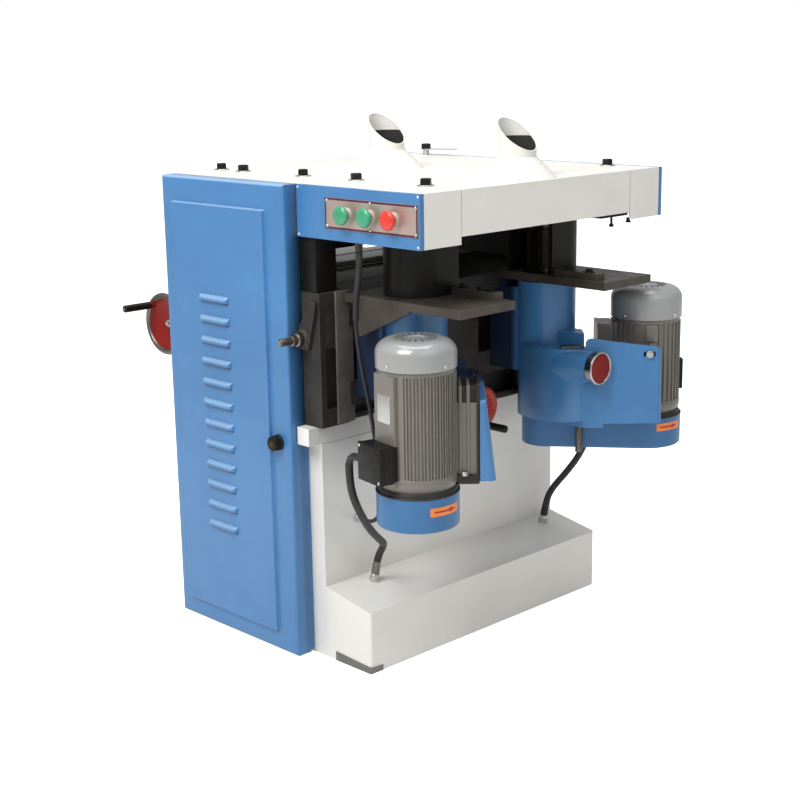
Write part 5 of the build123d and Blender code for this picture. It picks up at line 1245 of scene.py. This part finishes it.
class PLANER_OT_plinth_shoe(Operator):
    """Bent steel shoe round the plinth's front corner"""
    bl_idname = "planer.plinth_shoe"
    bl_label = "Plinth shoe"

    def execute(self, context):
        x, y = PLINTH_X1, PLINTH_FRONT_Y
        inside = np.array(((SHOE_BACK_X, y), (x, y), (x, SHOE_SIDE_Y)))
        outside = np.array(((SHOE_BACK_X, y - SHOE_T), (x + SHOE_T, y - SHOE_T), (x + SHOE_T, SHOE_SIDE_Y)))
        height = np.array((24.0, 17.0, 14.0))[:, None]
        low = np.full_like(height, 0.4)
        corners = ((inside, low), (outside, low), (outside, height), (inside, height))
        bent = np.stack([np.concatenate((flat, z), axis=1) for flat, z in corners], axis=1)
        piece("plinth_shoe", [loft(bent)], "galvanised", "galvanised", "frame")
        return {"FINISHED"}


def gland_shapes(foot, direction, cable):
    """Hexagon base and rounded nut of a cable gland, standing on a face."""
    nut = ((0.8, 8), (0.84, 9), (0.84, 16), (0.72, 20), (0.55, GLAND_H))
    nut = [(cable * wide, high) for wide, high in nut]
    return [hex_head(foot, direction, cable, 9, 0.2), lathe(nut, foot, direction, 28)]


class PLANER_OT_glands(Operator):
    """Zinc cable glands on plinth and wall, rubber one under the hood"""
    bl_idname = "planer.glands"
    bl_label = "Cable glands"

    def execute(self, context):
        sizes = context.scene.planer_sizes
        motor, control = sizes.motor_cable / MM, sizes.control_cable / MM
        shapes = gland_shapes(WALL_GLAND, OUTFEED, control)
        for x, y in MOTOR_GLANDS:
            shapes += gland_shapes(above_plinth(x, y, 0), PLINTH_SLOPE, motor)
        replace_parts(piece("zinc_glands", shapes, *ZINC, "frame"), "cable_glands")
        piece("hood_gland", gland_shapes(HOOD_GLAND, DOWN, control), *RUBBER, "frame")
        return {"FINISHED"}


def spline_curve(name, points, radius):
    """One open NURBS spline of order 3 on its control points; a radius gives it a round section."""
    curve = bpy.data.curves.new(name, "CURVE")
    curve.dimensions = "3D"
    curve.bevel_depth = radius
    curve.bevel_resolution = 5
    curve.resolution_u = 12
    curve.use_fill_caps = True
    spline = curve.splines.new("NURBS")
    spline.points.add(len(points) - 1)
    for index, point in enumerate(points):
        spline.points[index].co = (*point, 1.0)
    spline.order_u = 3
    spline.use_endpoint_u = True
    obj = bpy.data.objects.new(name, curve)
    bpy.context.collection.objects.link(obj)
    return obj


def spline_points(points):
    """Points along the NURBS spline of a route, as Blender works it out."""
    obj = spline_curve("route", points, 0.0)
    mesh = bpy.data.meshes.new_from_object(obj.evaluated_get(bpy.context.evaluated_depsgraph_get()))
    found = np.zeros(len(mesh.vertices) * 3)
    mesh.vertices.foreach_get("co", found)
    bpy.data.objects.remove(obj)
    bpy.data.meshes.remove(mesh)
    return found.reshape(-1, 3)


LEFT_CABLE_LENGTH = 495 * MM
RIGHT_CABLE_LENGTH = 642 * MM
RIB_PITCH = 2 * MM
SLEEVE_LENGTH = 38 * MM
SLEEVE_WALL = 3.6 * MM
SLEEVE_GROOVE = 0.5 * MM
LOOM_WALL = 2.2 * MM
SHEATH_LENGTH = 170 * MM
SHEATH_R = 8 * MM


def sleeve(line, length, radius, groove):
    """Ribbed sleeve along the last part of a line, every other ring drawn in, tapering away from the end."""
    gone = np.concatenate(((0,), np.cumsum(np.linalg.norm(np.diff(line, axis=0), axis=1))))
    places = gone[-1] - np.arange(0, length, RIB_PITCH)
    path = np.stack([np.interp(places, gone, line[:, i]) for i in range(3)], axis=-1)
    ribs = radius - groove * (np.arange(len(places)) % 2)
    ribs = ribs * np.linspace(1, 0.9, len(places))
    return tube(path, ribs[:, None, None])


def route(*runs):
    """Control points in metres of runs that are each placed in their own frame."""
    return np.concatenate([place(points) for place, points in runs])


class PLANER_OT_cables(Operator):
    """Two motor cables and the control cable, with their looms and sleeves"""
    bl_idname = "planer.cables"
    bl_label = "Cables"

    def execute(self, context):
        sizes = context.scene.planer_sizes
        elbow = ((112, 112, 566), (112, 112, 526))
        hang = ((-166, -497, 476), (-180, -462, 426), (-204, -412, 372), (-240, -346, 322), (-284, -290, 288))
        ends = [[above_plinth(x, y, 66), above_plinth(x, y, GLAND_H)] for x, y in MOTOR_GLANDS]
        left = route((motor_place("left", HEADS["left"].box_turn), elbow), (layout, hang), (layout, ends[0]))
        drop = ((152, 56, 735), (152, 99, 735), (151, 136, 714), (149, 157, 678), (147, 160, 618),
                (142, 148, 534), (132, 126, 452))
        sweep = ((-228, 403, 386), (-266, 388, 328), (-300, 373, 283))
        right = route((head_place("right"), drop), (layout, sweep), (layout, ends[1]))
        control = layout((
            (-203, -429, 1036), (-203, -429, 1000), (-220, -421, 956), (-237, -413, 900), (-241, -408, 830),
            (-234, -398, 750), (-229, -383, 670), (-232, -366, 590), (-241, -346, 500), (-255, -327, 418),
            (-274, -314, 373), (-298, -307, 350), (-324, -304.5, 340), (-349, -304.5, 340)))
        radius = sizes.motor_cable / 2
        runs = (("left", left, LEFT_CABLE_LENGTH, "galvanised"),
                ("right", right, RIGHT_CABLE_LENGTH, "rubber"))
        for side, points, length, sleeve_finish in runs:
            line = spline_points(points)
            cord = piece(side + "_motor_cord", [tube(line, radius)], *RUBBER, place=as_given)
            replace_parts(cord, side + "_motor_cable")
            tuple(points[1])
            tuple(points[-2])
            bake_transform(cord)
            ribbed = sleeve(line, SLEEVE_LENGTH, radius + SLEEVE_WALL, SLEEVE_GROOVE)
            bend = piece(side + "_cord_sleeve", [ribbed], sleeve_finish, "black_rubber", "frame", as_given)
            loom = piece(side + "_cord_loom", [tube(line[:-6], radius + LOOM_WALL)], *RUBBER, place=as_given)
            tuple(points[1])
            tuple(points[-2])
            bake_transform(loom)
            tuple(points[0])
        cord = spline_curve("control_cord", control, sizes.control_cable / 2)
        cord.data.materials.append(FINISHES["rubber"])
        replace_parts(cord, "control_cable")
        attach(cord, "frame")
        line = spline_points(control)[::-1]
        cover = sleeve(line, SHEATH_LENGTH, SHEATH_R, 0)
        sheath = piece("control_sheath", [cover], *RUBBER, "frame", as_given)
        return {"FINISHED"}


# Stage and camera
CAMERA_PLACE = (2.7992, -2.6885, 1.5005)
CAMERA_RIGHT = (0.69809, 0.71582, -0.01612)
CAMERA_UP = (-0.15621, 0.17423, 0.97221)
CAMERA_BACK = (0.69874, -0.67619, 0.23345)
CAMERA_LENS = 67.258
CAMERA_SENSOR = 36.0
CAMERA_FAR = 100.0
SKY_LIGHT = 0.45
SKY_SEEN = 1.0
FLOOR_GLOW = 0.16
FLOOR_SEEN = 1.0
FLOOR_REACH = 30.0
PURE_WHITE = (1.0, 1.0, 1.0, 1.0)
LAMP_TARGET = (0.0, 0.0, 0.7)
# Place in metres, side of the square and power in watts
LAMPS = {
    "key_lamp": ((0.6, -3.3, 4.1), 2.2, 172),
    "top_lamp": ((-0.2, 0.2, 4.6), 3.0, 100),
    "fill_lamp": ((3.4, -0.6, 3.4), 2.6, 19),
}


def placed_matrix(right, up, back, place):
    """World matrix of a camera or lamp from its right, up and back directions and its place."""
    matrix = np.eye(4)
    matrix[:3, :3] = np.array((right, up, back)).T
    matrix[:3, 3] = place
    return Matrix(matrix.tolist())


def area_light(name, place, size, power):
    """Soft square lamp at a place, turned to the target."""
    lamp = bpy.data.lights.new(name, "AREA")
    lamp.energy = power
    lamp.size = size
    obj = bpy.data.objects.new(name, lamp)
    back = np.array(place) - np.array(LAMP_TARGET)
    back /= np.linalg.norm(back)
    right = np.cross(UP, back)
    right /= np.linalg.norm(right)
    obj.matrix_world = placed_matrix(right, np.cross(back, right), back, place)
    bpy.context.collection.objects.link(obj)


class PLANER_OT_stage(Operator):
    """Floor, lamps, sky and camera"""
    bl_idname = "planer.stage"
    bl_label = "Stage"

    def execute(self, context):
        mesh = bpy.data.meshes.new("floor")
        corners = [(x * FLOOR_REACH, y * FLOOR_REACH, 0) for x, y in ((-1, -1), (1, -1), (1, 1), (-1, 1))]
        mesh.from_pydata(corners, [], [(0, 1, 2, 3)])
        floor = bpy.data.objects.new("floor", mesh)
        context.collection.objects.link(floor)
        # Matt pale paper, seen as white by the camera and lighting the piece only softly
        material, tree, shader, place = blank("pale_floor")
        tone = blend_colours(tree, vary(tree, noise(tree, place, 900), 0.0, 1.0), "#e6e6e4", "#dededc")
        straight = put(tree, "ShaderNodeLightPath").outputs["Is Camera Ray"]
        glow = vary(tree, straight, FLOOR_GLOW, FLOOR_SEEN, 0.0, 1.0)
        fill(tree, shader, {"Base Color": tone, "Roughness": 0.9, "Emission Color": PURE_WHITE,
                            "Emission Strength": glow})
        mesh.materials.append(material)
        world = context.scene.world or bpy.data.worlds.new("studio")
        context.scene.world = world
        world.use_nodes = True
        tree = world.node_tree
        tree.nodes.clear()
        lit = put(tree, "ShaderNodeBackground", {"Strength": SKY_LIGHT, "Color": PURE_WHITE})
        seen = put(tree, "ShaderNodeBackground", {"Strength": SKY_SEEN, "Color": PURE_WHITE})
        straight = put(tree, "ShaderNodeLightPath").outputs["Is Camera Ray"]
        sky = put(tree, "ShaderNodeMixShader", {0: straight, 1: lit.outputs[0], 2: seen.outputs[0]})
        put(tree, "ShaderNodeOutputWorld", {"Surface": sky.outputs[0]})
        context.scene.view_settings.view_transform = "Standard"
        for name, (spot, size, power) in LAMPS.items():
            area_light(name, spot, size, power)
        camera = bpy.data.cameras.new("photo_camera")
        camera.lens = CAMERA_LENS
        camera.sensor_width = CAMERA_SENSOR
        camera.clip_end = CAMERA_FAR
        view = bpy.data.objects.new("photo_camera", camera)
        view.matrix_world = placed_matrix(CAMERA_RIGHT, CAMERA_UP, CAMERA_BACK, CAMERA_PLACE)
        context.collection.objects.link(view)
        context.scene.camera = view
        return {"FINISHED"}


class PLANER_PT_panel(Panel):
    """Planer pieces"""
    bl_idname = "PLANER_PT_panel"
    bl_label = "Planer"
    bl_space_type = "VIEW_3D"
    bl_region_type = "UI"
    bl_category = "Planer"

    def draw(self, context):
        for group in (context.scene.planer_paint, context.scene.planer_sizes):
            for name in group.__annotations__:
                self.layout.prop(group, name)
        for step in STEPS:
            self.layout.operator(step.bl_idname)


STEPS = (
    PLANER_OT_stage, PLANER_OT_finishes, PLANER_OT_hood_bolts, PLANER_OT_outlets, PLANER_OT_hood_fittings,
    PLANER_OT_controls, PLANER_OT_door, PLANER_OT_motors, PLANER_OT_guards, PLANER_OT_posts, PLANER_OT_tables,
    PLANER_OT_arms, PLANER_OT_wheels, PLANER_OT_plinth_shoe, PLANER_OT_glands, PLANER_OT_cables,
)
CLASSES = (PlanerPaint, PlanerSizes, *STEPS, PLANER_PT_panel)


def register():
    """Register the classes and their settings."""
    for cls in CLASSES:
        bpy.utils.register_class(cls)
    bpy.types.Scene.planer_paint = PointerProperty(type=PlanerPaint)
    bpy.types.Scene.planer_sizes = PointerProperty(type=PlanerSizes)


def unregister():
    """Remove the classes and their settings."""
    del bpy.types.Scene.planer_sizes
    del bpy.types.Scene.planer_paint
    for cls in reversed(CLASSES):
        bpy.utils.unregister_class(cls)


def main():
    """Build every piece in order."""
    register()
    for step in STEPS:
        group, action = step.bl_idname.split(".")
        getattr(getattr(bpy.ops, group), action)()


if __name__ == "__main__":
    main()
